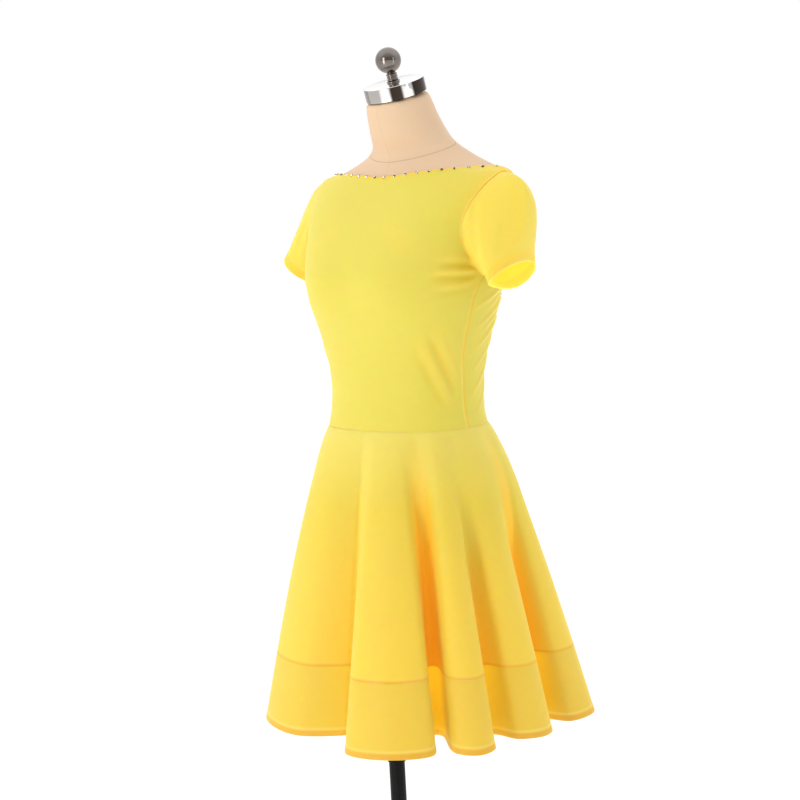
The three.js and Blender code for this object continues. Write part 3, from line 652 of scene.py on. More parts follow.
def jersey(base, strength, name, deep, sewn, through):
    """Fine weft-knitted jersey of polyamide and elastane: matt with a soft sheen, its wales too fine to see.

    The wales are drawn at 0.9 mm, coarser than the real 0.35 mm, so that they show close up. Light through
    the thin cloth is painted: an emission as strong as the glow attribute says, and a deeper tone mixed into
    the base colour by the same attribute. The crest attribute mixes in a cream colour, a painted highlight.
    """
    finish = Finish(name, base, 0.58)
    shader = finish.shader
    shader.inputs["Sheen Weight"].default_value = 0.18
    shader.inputs["Sheen Roughness"].default_value = 0.4
    shader.inputs["Sheen Tint"].default_value = hex_colour("#FFF3A0")
    shader.inputs["Specular IOR Level"].default_value = 0.3
    shader.inputs["Subsurface Weight"].default_value = 0.85
    shader.inputs["Subsurface Radius"].default_value = (1.0, 0.62, 0.1)
    shader.inputs["Subsurface Scale"].default_value = 2.5 * MM
    uv = finish.add("ShaderNodeUVMap", {"uv_map": "cloth"}).outputs["UV"]
    doubled = finish.add("ShaderNodeAttribute", {"attribute_name": "doubled"}).outputs["Fac"]
    glow = finish.add("ShaderNodeAttribute", {"attribute_name": "glow"}).outputs["Fac"]
    place = finish.add("ShaderNodeTexCoord").outputs["Object"]
    patch = finish.add("ShaderNodeTexNoise", {}, Vector=place, Scale=9.0, Detail=3.0, Roughness=0.5)
    tone = finish.add("ShaderNodeMapRange", {}, Value=patch.outputs["Fac"])
    tone.inputs["From Min"].default_value = 0.3
    tone.inputs["From Max"].default_value = 0.7
    tone.inputs["To Min"].default_value = 0.0
    tone.inputs["To Max"].default_value = 0.12
    varied = finish.add(
        "ShaderNodeMix",
        {"data_type": "RGBA"},
        _0=tone.outputs["Result"],
        _6=base,
        _7=hex_colour("#F2CE3C"),
    )
    # Painted light through the cloth: the glow attribute mixes in a deeper tone.
    deeper = finish.add(
        "ShaderNodeMix", {"data_type": "RGBA"}, _0=glow, _6=varied.outputs[2], _7=hex_colour(deep)
    )
    folded = finish.add(
        "ShaderNodeMix", {"data_type": "RGBA"}, _0=doubled, _6=deeper.outputs[2], _7=hex_colour(sewn)
    )
    # A painted highlight: the crest attribute mixes in a cream colour.
    crest = finish.add("ShaderNodeAttribute", {"attribute_name": "crest"}).outputs["Fac"]
    painted_crest_highlight = finish.add(
        "ShaderNodeMix", {"data_type": "RGBA"}, _0=crest, _6=folded.outputs[2], _7=hex_colour("#FFF6A8")
    )
    finish.link(painted_crest_highlight.outputs[2], "Base Color")
    # Painted light through the cloth: an emission as strong as the glow attribute times the strength.
    shader.inputs["Emission Color"].default_value = hex_colour(through)
    through = finish.add("ShaderNodeMath", {"operation": "MULTIPLY"}, _0=glow, _1=strength)
    finish.link(through.outputs[0], "Emission Strength")
    wales = finish.add(
        "ShaderNodeTexWave",
        {"wave_type": "BANDS", "bands_direction": "X", "wave_profile": "SIN"},
        Vector=uv,
        Scale=1 / (0.9 * MM) / 6.283,
        Distortion=0.6,
        Detail=1.0,
    )
    courses = finish.add(
        "ShaderNodeTexWave",
        {"wave_type": "BANDS", "bands_direction": "Y", "wave_profile": "SIN"},
        Vector=uv,
        Scale=1 / (0.7 * MM) / 6.283,
        Distortion=0.8,
        Detail=1.0,
    )
    knit = finish.add(
        "ShaderNodeMath", {"operation": "ADD"}, _0=wales.outputs["Fac"], _1=courses.outputs["Fac"]
    )
    bump = finish.add("ShaderNodeBump", {}, Height=knit.outputs[0], Strength=0.25, Distance=0.12 * MM)
    finish.link(bump.outputs["Normal"], "Normal")
    return finish.material


def form_cover():
    """Beige stretch knit drawn tight over the form: matt, with seams down the front and round the neck."""
    finish = Finish("beige_form_knit", hex_colour("#E3C6A3"), 0.82)
    finish.shader.inputs["Sheen Weight"].default_value = 0.12
    finish.shader.inputs["Specular IOR Level"].default_value = 0.25
    place = finish.add("ShaderNodeTexCoord").outputs["Object"]
    axes = finish.add("ShaderNodeSeparateXYZ", {}, Vector=place)

    maths = "ShaderNodeMath"
    rise = 0.388  # the neck seam climbs this much for each unit towards the back
    climb = finish.add(maths, {"operation": "MULTIPLY"}, _0=axes.outputs["Y"], _1=rise)
    level = finish.add(maths, {"operation": "SUBTRACT"}, _0=axes.outputs["Z"], _1=climb.outputs[0])
    seam_level = 1.272 - rise * 0.044
    above = finish.add(maths, {"operation": "SUBTRACT"}, _0=level.outputs[0], _1=seam_level)
    from_seam = finish.add(maths, {"operation": "ABSOLUTE"}, _0=above.outputs[0])
    on_neck = finish.add(maths, {"operation": "LESS_THAN"}, _0=from_seam.outputs[0], _1=0.45 * MM)
    in_front = finish.add(maths, {"operation": "LESS_THAN"}, _0=axes.outputs["Y"], _1=0.08)
    from_middle = finish.add(maths, {"operation": "ABSOLUTE"}, _0=axes.outputs["X"])
    on_middle = finish.add(maths, {"operation": "LESS_THAN"}, _0=from_middle.outputs[0], _1=0.35 * MM)
    on_front = finish.add(maths, {"operation": "MULTIPLY"}, _0=on_middle.outputs[0], _1=in_front.outputs[0])
    fainter = finish.add(maths, {"operation": "MULTIPLY"}, _0=on_front.outputs[0], _1=0.45)
    seam = finish.add(maths, {"operation": "MAXIMUM"}, _0=on_neck.outputs[0], _1=fainter.outputs[0])
    seam_tone = finish.add(maths, {"operation": "MULTIPLY"}, _0=seam.outputs[0], _1=0.4)
    grain = finish.add("ShaderNodeTexNoise", {}, Vector=place, Scale=900.0, Detail=2.0)
    tint = finish.add(
        "ShaderNodeMix",
        {"data_type": "RGBA"},
        _0=grain.outputs["Fac"],
        _6=hex_colour("#E6C8A8"),
        _7=hex_colour("#DABA98"),
    )
    marked = finish.add(
        "ShaderNodeMix",
        {"data_type": "RGBA"},
        _0=seam_tone.outputs[0],
        _6=tint.outputs[2],
        _7=hex_colour("#8E7458"),
    )
    finish.link(marked.outputs[2], "Base Color")
    nap = finish.add(maths, {"operation": "MULTIPLY"}, _0=grain.outputs["Fac"], _1=0.4)
    height = finish.add(maths, {"operation": "SUBTRACT"}, _0=nap.outputs[0], _1=seam.outputs[0])
    bump = finish.add("ShaderNodeBump", {}, Height=height.outputs[0], Strength=0.5, Distance=0.3 * MM)
    finish.link(bump.outputs["Normal"], "Normal")
    return finish.material


# Painted reflections of the neck cap, bright and dark bands: share of a turn, and colour
CAP_PAINTED_REFLECTIONS = [
    (0.2, "#8A827C"),
    (0.215, "#B5AFAA"),
    (0.285, "#B5AFAA"),
    (0.297, "#F6F3F0"),
    (0.338, "#F6F3F0"),
    (0.35, "#3A322D"),
    (0.404, "#453B35"),
    (0.416, "#F6F3F0"),
    (0.46, "#F6F3F0"),
    (0.472, "#3A322D"),
    (0.575, "#4A413B"),
    (0.6, "#E8E4E0"),
    (0.7, "#B5AFAA"),
    (0.78, "#4A413B"),
    (0.86, "#4A413B"),
    (0.9, "#E8E4E0"),
]


def polished_chrome():
    """Chromium plate over polished steel: a clear mirror with faint polishing marks in its roughness.

    A mirror in a plain white studio is evenly grey, so reflections are painted into the plate's colour: it is
    darker than chrome, with bright and dark bands round the neck's axis as chrome has in a room. They are
    fixed to the cap.
    """
    finish = Finish("polished_chrome", hex_colour("#7F7772"), 0.1, 1.0)
    place = finish.add("ShaderNodeTexCoord").outputs["Object"]
    cap = finish.add("ShaderNodeMapping", {"vector_type": "TEXTURE"}, Vector=place)
    cap.inputs["Location"].default_value = neck_top().to_translation()
    cap.inputs["Rotation"].default_value = neck_top().to_euler()
    turn = finish.add("ShaderNodeTexGradient", {"gradient_type": "RADIAL"}, Vector=cap.outputs["Vector"])
    # Painted reflections: bright and dark bands round the cap's axis.
    bands = finish.add("ShaderNodeValToRGB", {}, Fac=turn.outputs["Fac"])
    ramp = bands.color_ramp.elements
    ramp[0].position, ramp[1].position = 0.0, 1.0
    ramp[0].color = ramp[1].color = hex_colour("#8A827C")
    for position, code in CAP_PAINTED_REFLECTIONS:
        ramp.new(position).color = hex_colour(code)
    height = finish.add("ShaderNodeSeparateXYZ", {}, Vector=cap.outputs["Vector"]).outputs["Z"]
    top = NECK_CAP["foot"] + NECK_CAP["height"]
    # A painted highlight: a thin bright ring along the top of the cap's wall.
    painted_rim_highlight_mask = finish.add("ShaderNodeMath", {"operation": "GREATER_THAN"}, _0=height, _1=(top - 0.5) * MM)
    above_top = finish.add("ShaderNodeMath", {"operation": "GREATER_THAN"}, _0=height, _1=(top + 0.15) * MM)
    wall = finish.add(
        "ShaderNodeMix",
        {"data_type": "RGBA"},
        _0=painted_rim_highlight_mask.outputs[0],
        _6=bands.outputs["Color"],
        _7=hex_colour("#F2F0EE"),
    )
    plate = finish.add(
        "ShaderNodeMix",
        {"data_type": "RGBA"},
        _0=above_top.outputs[0],
        _6=wall.outputs[2],
        _7=hex_colour("#7F7772"),
    )
    finish.link(plate.outputs[2], "Base Color")
    marks = finish.add("ShaderNodeTexNoise", {}, Vector=place, Scale=140.0, Detail=4.0)
    haze = finish.add("ShaderNodeMapRange", {}, Value=marks.outputs["Fac"])
    haze.inputs["To Min"].default_value = 0.06
    haze.inputs["To Max"].default_value = 0.17
    finish.link(haze.outputs["Result"], "Roughness")
    return finish.material


def black_powder_coat():
    """Satin black powder coat on steel: a fine pebbled skin with soft highlights."""
    finish = Finish("black_powder_coat", hex_colour("#070708"), 0.42)
    finish.shader.inputs["Specular IOR Level"].default_value = 0.15
    place = finish.add("ShaderNodeTexCoord").outputs["Object"]
    pebbles = finish.add("ShaderNodeTexNoise", {}, Vector=place, Scale=1400.0, Detail=2.0)
    wear = finish.add("ShaderNodeTexNoise", {}, Vector=place, Scale=30.0, Detail=3.0)
    gloss = finish.add("ShaderNodeMapRange", {}, Value=wear.outputs["Fac"])
    gloss.inputs["To Min"].default_value = 0.34
    gloss.inputs["To Max"].default_value = 0.5
    finish.link(gloss.outputs["Result"], "Roughness")
    bump = finish.add("ShaderNodeBump", {}, Height=pebbles.outputs["Fac"], Strength=0.2, Distance=0.1 * MM)
    finish.link(bump.outputs["Normal"], "Normal")
    return finish.material


def clear_crystal():
    """Cut lead glass with a mirror backing: bright facets beside dark ones, painted into the base colour by a
    noise as glints and dark reflections.
    """
    finish = Finish("cut_crystal", hex_colour("#B9BCC6"), 0.05, 0.85)
    place = finish.add("ShaderNodeTexCoord").outputs["Object"]
    # Painted glints and dark reflections of the facets.
    flash = finish.add("ShaderNodeTexNoise", {}, Vector=place, Scale=420.0, Detail=0.0)
    step = finish.add("ShaderNodeMapRange", {}, Value=flash.outputs["Fac"])
    step.inputs["From Min"].default_value = 0.42
    step.inputs["From Max"].default_value = 0.58
    painted_glints = finish.add(
        "ShaderNodeMix",
        {"data_type": "RGBA"},
        _0=step.outputs["Result"],
        _6=hex_colour("#4A4B55"),
        _7=hex_colour("#F4F6FA"),
    )
    finish.link(painted_glints.outputs[2], "Base Color")
    return finish.material


MATERIALS = {}


def finish_of(name):
    """The finish of that name, made the first time it is asked for."""
    makers = {
        "form": form_cover,
        "chrome": polished_chrome,
        "black": black_powder_coat,
        "crystal": clear_crystal,
    }
    if name not in MATERIALS:
        if name in JERSEYS:
            colour = (*getattr(bpy.context.scene.dress_colours, name), 1)
            MATERIALS[name] = jersey(colour, LIGHT_THROUGH[name], **JERSEYS[name])
        else:
            MATERIALS[name] = makers[name]()
    return MATERIALS[name]


def sizes():
    return bpy.context.scene.dress_sizes


def walls(face, normals, lift, thickness):
    """Outer and inner grids of cloth whose face is raised by lift. Where it is sunk, both faces sink."""
    lift = np.broadcast_to(lift, face.shape[:2])[..., None]
    thickness = np.broadcast_to(thickness, face.shape[:2])[..., None]
    return face + normals * lift, face + normals * (np.minimum(lift, 0) - thickness)


def front_grid(columns=132, rows=118):
    """Angles and heights of the front: a patch between its waist, centre line, side and neckline."""
    neck_share = 11 / 12
    seam_share = 8 / 20
    share = np.linspace(-1, 1, columns + 1)[None, :]
    across = np.abs(share)
    v = np.linspace(0, 1, rows + 1)[:, None]
    edge_angle, edge_z = side_edge(v, seam_share, True)
    waist_side = side_edge(np.zeros(1), seam_share, True)[0]
    top_side = SIDE - SEAM_TURN
    top_angle = top_side * np.minimum(1, across / neck_share)
    drop = np.clip((across - neck_share) / (1 - neck_share), 0, 1)
    neck_z = lerp(NECK_FRONT_Z, NECK_SHOULDER_Z, np.sin(np.radians(top_angle)) ** 2)
    top_z = lerp(neck_z, SHOULDER_Z, drop)
    centre_z = lerp(BODICE_HEM, NECK_FRONT_Z, v)
    straight_z = lerp(BODICE_HEM, lerp(NECK_FRONT_Z, SHOULDER_Z, across), v)
    angle = lerp(waist_side * across, top_angle, v) + across * (edge_angle - lerp(waist_side, top_side, v))
    z = lerp(BODICE_HEM, top_z, v) + lerp(centre_z, edge_z, across) - straight_z
    return np.sign(share) * angle, z


def back_edge_by_length():
    points = body_point(180 - BACK_EDGE[:, 1], BACK_EDGE[:, 0])
    length = np.concatenate([[0], np.cumsum(np.linalg.norm(np.diff(points, axis=0), axis=1))])
    return np.column_stack([length / length[-1], BACK_EDGE])


def back_grid(columns=480, rows=34):
    """Angles and heights of the back: a strip along the neckline from the left shoulder to the right."""
    waist_share = 10 / 58
    seam_share = 24 / 48
    u = np.linspace(0, 1, columns + 1)[None, :]
    v = np.linspace(0, 1, rows + 1)[:, None]
    along = np.abs(1 - 2 * u)
    table = back_edge_by_length()
    waist_corner = side_edge(np.zeros(1), seam_share, False)[0]
    up_side = np.clip((along - waist_share) / (1 - waist_share), 0, 1)
    side_angle, side_z = side_edge(up_side, seam_share, False)
    on_waist = along <= waist_share
    outer_angle = np.where(on_waist, lerp(180, waist_corner, along / waist_share), side_angle)
    outer_z = np.where(on_waist, BODICE_HEM, side_z)
    edge_angle = np.maximum(180 - read_table(table, 2, along), SIDE + SEAM_TURN)
    edge_z = read_table(table, 1, along)
    half = lerp(outer_angle, edge_angle, v)
    return np.where(u < 0.5, half, 360 - half), lerp(outer_z, edge_z, v), along, v


def build_front():
    own = sizes()
    angle, z = front_grid()
    face = body_point(angle, z)
    normals = body_normal(angle, z)
    from_side = np.minimum(run_length(face, 1), from_end(run_length(face, 1), 1))
    from_neck = from_end(run_length(face, 0), 0)
    from_waist = run_length(face, 0)
    seam = ridge(from_side, 0.6, 1.6)
    waist = ridge(from_waist, 0.9, 0.8)
    fold = fold_over(from_neck, own.neck_fold / MM)
    stitch = ridge(from_neck, own.neck_fold / MM + 0.2, 0.5)
    lift = crease_lift(angle, z, FRONT_CREASES)
    # Painted shade and glow in the hollows of the creases: a deeper tone and a faint emission on the outer
    # face.
    painted_trough_shade_and_glow = 0.5 * np.clip(-lift / 3, 0, 1)
    # A painted highlight beside the side seam.
    crest = 0.22 * ridge(from_side, 2.8, 0.8)
    lift = lift * np.clip(from_side / 8, 0, 1) + own.seam_ridge / MM * (SIDE_CORD * seam + 0.5 * waist)
    lift += own.fold / MM * fold - 0.25 * stitch
    outer, inner = walls(face, normals, lift, own.cloth / MM)
    doubled = np.clip(fold * 0.5 + seam + waist * 0.5, 0, 1)
    glow = (painted_trough_shade_and_glow, 0)
    finish = finish_of("backed")
    piece = cloth_piece("front_panel", ["bodice_front"], outer, inner, False, doubled, crest, glow, finish)


def build_back():
    own = sizes()
    angle, z, along, v = back_grid()
    face = body_point(angle, z)
    normals = body_normal(angle, z)
    lift = np.zeros_like(z)
    crest = np.zeros_like(z)
    for at, height, reach, slant in GATHERS:
        fade = np.clip(1 - (1 - v) / reach, 0, 1) ** 0.8
        middle = at - slant * (1 - v) ** 0.7
        lift += height * fade * np.exp(-(((along - middle) / GATHER_WIDTH) ** 2))
        lift -= 0.35 * height * fade * np.exp(-(((along - middle - 2 * GATHER_WIDTH) / GATHER_WIDTH) ** 2))
        # A painted highlight along the top of each gather.
        crest += 0.32 * height * fade**2 * np.exp(-(((along - middle) / (0.45 * GATHER_WIDTH)) ** 2))
    from_edge = from_end(run_length(face, 0), 0)
    from_seam = run_length(face, 0)
    on_side = along > 10 / 58
    seam = np.where(on_side, ridge(from_seam, 0.4, 1.5), 0.25 * ridge(from_seam, 0.9, 0.8))
    fold = fold_over(from_edge, own.neck_fold / MM)
    lift = lift * np.clip(from_seam / 10, 0, 1) + SIDE_CORD * own.seam_ridge / MM * seam
    lift += own.fold / MM * fold
    lift -= 0.25 * ridge(from_edge, own.neck_fold / MM + 0.3, 0.6)
    outer, inner = walls(face, normals, lift, own.cloth / MM)
    doubled = np.clip(fold * 0.5 + seam, 0, 1)
    crest = np.clip(crest, 0, 1)
    finish = finish_of("backed")
    piece = cloth_piece("back_panel", ["bodice_back"], outer, inner, False, doubled, crest, (0, 0), finish)


def sleeve_face(cuff, hang, columns=132, rows=62):
    """Outer face of a sleeve: rows run from the armhole to the cuff."""
    turn = (np.arange(columns) * 360 / columns)[None, :]
    v = (np.linspace(0, 1, rows + 1))[:, None]
    sine = np.sin(np.radians(turn))
    cosine = np.cos(np.radians(turn))
    upper = (1 + cosine) / 2
    angle, z = armhole(turn)
    start = body_point(angle, z)
    middle = body_point(SIDE, (SHOULDER_Z + UNDERARM_Z) / 2)
    inwards = (middle - start) * np.array([0, 1, 1])
    start = start + unit(inwards) * ARMHOLE_GAP
    lean = math.radians(cuff["lean"])
    swell = np.where(cosine < 0, 1 - cuff["swell"] * sine, 1)
    across = lerp(cuff["inner"], cuff["outer"], upper) * cosine * swell
    end = np.stack(
        [
            cuff["x"] + across * math.cos(lean),
            cuff["y"] - cuff["depth"] * sine,
            cuff["z"] - cuff["drop"] * sine + across * math.sin(lean),
        ],
        -1,
    )
    nothing = np.zeros_like(upper)
    leave = unit(np.stack([nothing + 1, nothing, -lerp(*hang["fall"], upper)], -1))
    arrive = unit(np.stack([lerp(*hang["outward"], upper), nothing, nothing - 1], -1))
    fullness = 1 - FRONT_EASE * np.maximum(0, sine) * np.sqrt(upper)
    from_start = start + leave * (fullness * lerp(*hang["leave"], upper))[..., None]
    before_end = end - arrive * (fullness * lerp(*hang["arrive"], upper))[..., None]
    t = v[..., None]
    face = (1 - t) ** 3 * start + 3 * t * (1 - t) ** 2 * from_start
    face = face + 3 * t * t * (1 - t) * before_end + t**3 * end
    return face, turn, v


# Soft folds of a sleeve: turn round the arm and share of its length where each starts and ends, its depth and
# its half width as a share of the length
SLEEVE_FOLDS = [
    (62, 0.02, 96, 0.62, -1.6, 0.055),
    (84, 0.05, 118, 0.6, 1.3, 0.05),
    (300, 0.03, 262, 0.6, -1.5, 0.06),
    (275, 0.06, 240, 0.55, 1.2, 0.05),
    (28, 0.3, 60, 0.8, 0.9, 0.09),
    (335, 0.3, 305, 0.85, 0.9, 0.09),
]


def sleeve_folds(turn, v):
    lift = np.zeros(np.broadcast_shapes(turn.shape, v.shape))
    degrees_per_length = 150.0  # turn that measures about as much as the whole length of the sleeve
    for from_turn, from_v, to_turn, to_v, depth, width in SLEEVE_FOLDS:
        way = np.array([(to_turn - from_turn) / degrees_per_length, to_v - from_v])
        length = math.hypot(*way)
        x = (turn - from_turn) / degrees_per_length
        y = v - from_v
        along = (x * way[0] + y * way[1]) / length**2
        across = (x * way[1] - y * way[0]) / length
        ends = np.clip(np.minimum(along, 1 - along) * 3 + 0.1, 0, 1)
        lift += depth * (ends**2 * (3 - 2 * ends)) * np.exp(-((across / width) ** 2))
    return lift


def build_sleeve(name, node, side, cuff, hang):
    own = sizes()
    face, turn, v = sleeve_face(cuff, hang)
    normals = grid_normals(face, True)
    from_cuff = from_end(run_length(face, 0), 0)
    from_armhole = run_length(face, 0)
    hem = fold_over(from_cuff, own.cuff_fold / MM)
    groove = ridge(from_cuff, own.cuff_fold / MM + 0.4, 0.7)
    seam = ridge(from_armhole, 1.4, 1.0)
    lift = sleeve_folds(turn, v) * np.clip(from_cuff / 18, 0, 1) * np.clip(from_armhole / 6, 0, 1)
    lift += own.fold / MM * 0.8 * hem - 0.3 * groove + own.seam_ridge / MM * seam
    thickness = own.cloth / MM + 0.8 * own.fold / MM * hem
    # Painted highlights along the armhole's edge and the cuff's edge.
    crest = 0.8 * ridge(from_armhole, 0, 1.4) + 0.6 * ridge(from_cuff, 0, 1.2)
    outer, inner = walls(face, normals, lift, thickness)
    if side < 0:
        outer, inner = (grid[:, ::-1] * np.array([-1, 1, 1]) for grid in (outer, inner))
        hem, groove, crest = (grid[:, ::-1] for grid in (hem, groove, crest))
    doubled = np.clip(hem * 0.35 + groove * 0.5, 0, 1)
    # The glow paints light through the cloth, faint outside and strong on the inner face.
    piece = cloth_piece(name, [node], outer, inner, True, doubled, crest, (0.03, 0.9), finish_of("sleeve"))


def skirt_stretch(top, bottom, rows, gap_top, gap_bottom):
    """Outer face of the skirt between two shares of its drop, rows running up, with gaps at its seams."""
    length = SKIRT_LENGTH
    drop = np.linspace(bottom - gap_bottom / length, top + gap_top / length, rows + 1)
    return skirt_points(drop)


def valley_glow(face):
    """How much painted light comes through at each place: 0 on a crest, most at the bottom of a deep valley.
    """
    count = sum(FLUTE_COLUMNS)
    column = np.arange(len(HEM))
    before_crest = column % count < sum(FLUTE_COLUMNS[:2])
    share, begins = VALLEY_LIGHT[(column // count - before_crest) % len(FLUTES)].T
    radius = np.hypot(HEM[:, 0], HEM[:, 1] - HEM_CENTRE_Y)
    own = VALLEY_GLOW
    depth = np.clip((own["rim"] - radius) / own["depth"], 0, 1)[None, :]
    below = WAIST_SEAM_Z - face[..., 2]
    near_hem = np.clip((below - own["hem_from"]) / own["hem_over"], 0, 1)
    grown = np.clip((below - begins) / own["grows"], 0, 1)
    return share * depth * grown * (1 - own["hem_loss"] * near_hem)


def panel_seams(face):
    """1 along the skirt's two side seams, which lie at the bottom of two valleys, 0 elsewhere."""
    run = run_length(face, 1)
    on_seams = np.zeros(face.shape[:2])
    for column in SEAM_COLUMNS:
        on_seams += ridge(np.abs(run - run[:, column : column + 1]), 0, 1.1)
    return on_seams


def build_skirt():
    own = sizes()
    face = skirt_stretch(0, BAND_SEAM_SHARE, 72, SEAM_GAP / 2, SEAM_GAP / 2)
    normals = grid_normals(face, True)
    from_top = from_end(run_length(face, 0), 0)
    from_band = run_length(face, 0)
    top_seam = ridge(from_top, 1.2, 0.8)
    band_seam = ridge(from_band, 1.2, 0.9)
    side_seam = panel_seams(face)
    lift = WAIST_RIDGE * top_seam + BAND_RIDGE * band_seam + PANEL_RIDGE * side_seam
    lift = own.seam_ridge / MM * lift
    outer, inner = walls(face, normals, lift, own.cloth / MM)
    sewn = 0.45 * top_seam + band_seam + 0.5 * fold_over(from_band, 3.5)
    doubled = np.clip(sewn, 0, 1)
    # Painted light through the cloth in the valleys, and on the inner face.
    glow = (valley_glow(face), 0.6)
    # Painted light: the colour gets paler towards the waist, and a painted highlight runs just above the band
    # seam.
    crest = 0.2 * np.clip(1 - from_top / 110, 0, 1) + 0.15 * ridge(from_band, 6, 1.0)
    nodes = ["skirt_front", "skirt_back"]
    piece = cloth_piece("skirt_flutes", nodes, outer, inner, True, doubled, crest, glow, finish_of("hanging"))


def build_hem_band():
    own = sizes()
    face = skirt_stretch(BAND_SEAM_SHARE, 1, 30, SEAM_GAP / 2, 0)
    normals = grid_normals(face, True)
    from_seam = from_end(run_length(face, 0), 0)
    from_hem = run_length(face, 0)
    seam = ridge(from_seam, 1.2, 0.9)
    hem = fold_over(from_hem, own.hem_fold / MM)
    groove = ridge(from_hem, own.hem_fold / MM + 0.3, 0.6)
    side_seam = panel_seams(face)
    ridges = np.maximum(seam, PANEL_RIDGE * side_seam)
    lift = own.seam_ridge / MM * ridges + own.fold / MM * hem - 0.2 * groove
    thickness = own.cloth / MM + own.fold / MM * hem
    outer, inner = walls(face, normals, lift, thickness)
    doubled = np.clip(0.9 * seam + 0.5 * hem + 0.5 * groove, 0, 1)
    # Painted light through the cloth in the valleys, and on the inner face.
    glow = (valley_glow(face), 0.6)
    # A painted highlight just above the stitching of the hem.
    crest = 0.22 * ridge(from_hem, own.hem_fold / MM + 1.8, 1.0)
    nodes = ["hem_band_front", "hem_band_back"]
    piece = cloth_piece("skirt_band", nodes, outer, inner, True, doubled, crest, glow, finish_of("band"))


def place_frames(path, normals, pitch, first):
    """Points and normals at an even pitch along a path, as matrices that stand on it."""
    length = np.concatenate([[0], np.cumsum(np.linalg.norm(np.diff(path, axis=0), axis=1))])
    stops = np.arange(first, length[-1], pitch)
    frames = []
    for stop in stops:
        point = Vector([np.interp(stop, length, path[:, k]) for k in range(3)])
        up = Vector([np.interp(stop, length, normals[:, k]) for k in range(3)]).normalized()
        frames.append(Matrix.Translation(point * MM) @ up.to_track_quat("Z", "Y").to_matrix().to_4x4())
    return frames


def crystal_master():
    """One brilliant: a crown with its table over a short girdle, cut from two cones."""
    width = sizes().crystal
    bpy.ops.mesh.primitive_cone_add(
        vertices=8, radius1=width / 2, radius2=width * 0.28, depth=width * 0.3, location=(0, 0, width * 0.27)
    )
    crown = bpy.context.object
    bpy.ops.object.mode_set(mode="EDIT")
    bpy.ops.mesh.select_all(action="SELECT")
    bpy.ops.mesh.bevel(offset=width * 0.05, segments=1, affect="EDGES")
    bpy.ops.object.mode_set(mode="OBJECT")
    bpy.ops.mesh.primitive_cylinder_add(
        vertices=8, radius=width * 0.47, depth=width * 0.24, location=(0, 0, width * 0.06)
    )
    girdle = bpy.context.object
    crown.select_set(True)
    girdle.select_set(True)
    bpy.context.view_layer.objects.active = crown
    bpy.ops.object.join()
    bpy.ops.object.transform_apply(location=True, rotation=True, scale=True)
    return crown


def set_crystals(name, frames):
    """A row of crystals glued along an edge, joined as one piece."""
    select_none()
    master = crystal_master()
    stones = []
    for i, place in enumerate(frames):
        stone = master.copy()
        stone.data = master.data.copy()
        bpy.context.scene.collection.objects.link(stone)
        stone.matrix_world = place @ Matrix.Rotation(i * 0.7, 4, "Z")
        stones.append(stone)
    bpy.data.objects.remove(master)
    select_none()
    for stone in stones:
        stone.select_set(True)
    bpy.context.view_layer.objects.active = stones[0]
    bpy.ops.object.join()
    row = bpy.context.object
    bpy.ops.object.transform_apply(location=True, rotation=True, scale=True)
    row.name = name
    row.data.materials.clear()
    row.data.materials.append(finish_of("crystal"))
    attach(row, "root")


def turned(name, profile, place, finish, slot, *nodes):
    """A turned metal part: a point drawn out along a profile of radii and heights and spun round the axis."""
    select_none()
    bpy.ops.mesh.primitive_plane_add(size=2 * MM, location=(0, 0, 0))
    piece = bpy.context.object
    piece.name = name
    bpy.ops.object.mode_set(mode="EDIT")
    bpy.ops.mesh.select_all(action="SELECT")
    bpy.ops.mesh.merge(type="CENTER")
    bpy.ops.transform.translate(value=(profile[0][0] * MM, 0, profile[0][1] * MM))
    for before, after in zip(profile, profile[1:]):
        step = ((after[0] - before[0]) * MM, 0, (after[1] - before[1]) * MM)
        bpy.ops.mesh.extrude_region_move(TRANSFORM_OT_translate={"value": step})
    bpy.ops.mesh.select_all(action="SELECT")
    bpy.ops.mesh.spin(steps=sizes().round_steps, angle=2 * math.pi, center=(0, 0, 0), axis=(0, 0, 1))
    bpy.ops.mesh.select_all(action="SELECT")
    bpy.ops.mesh.remove_doubles(threshold=0.01 * MM)
    bpy.ops.mesh.normals_make_consistent(inside=False)
    bpy.ops.object.mode_set(mode="OBJECT")
    piece.matrix_world = place
    activate(piece)
    bpy.ops.object.transform_apply(location=True, rotation=True, scale=True)
    bpy.ops.object.shade_smooth_by_angle(angle=math.radians(35))
    piece.data.materials.append(finish)
    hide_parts(*nodes)
    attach(piece, "root")
    return piece


def arc(centre_radius, centre_height, radius, start, end, steps):
    """Points of a profile on an arc, its angle counted from straight out towards up."""
    return [
        (
            centre_radius + radius * math.cos(math.radians(lerp(start, end, k / steps))),
            centre_height + radius * math.sin(math.radians(lerp(start, end, k / steps))),
        )
        for k in range(steps + 1)
    ]


def neck_top():
    """Where the neck cap stands: the middle of the neck's top, leaning forwards."""
    lean = math.radians(NECK_TOP["lean"])
    return Matrix.Translation((0, NECK_TOP["y"] * MM, NECK_TOP["z"] * MM)) @ Matrix.Rotation(lean, 4, "X")


class DRESS_OT_front(bpy.types.Operator):
    """Front of the bodice, plain from the boat neckline to the waist seam."""

    bl_idname = "dress.front"
    bl_label = "Bodice front"

    def execute(self, context):
        build_front()
        return {"FINISHED"}


class DRESS_OT_back(bpy.types.Operator):
    """Back of the bodice, gathered along its low edge."""

    bl_idname = "dress.back"
    bl_label = "Bodice back"

    def execute(self, context):
        build_back()
        return {"FINISHED"}


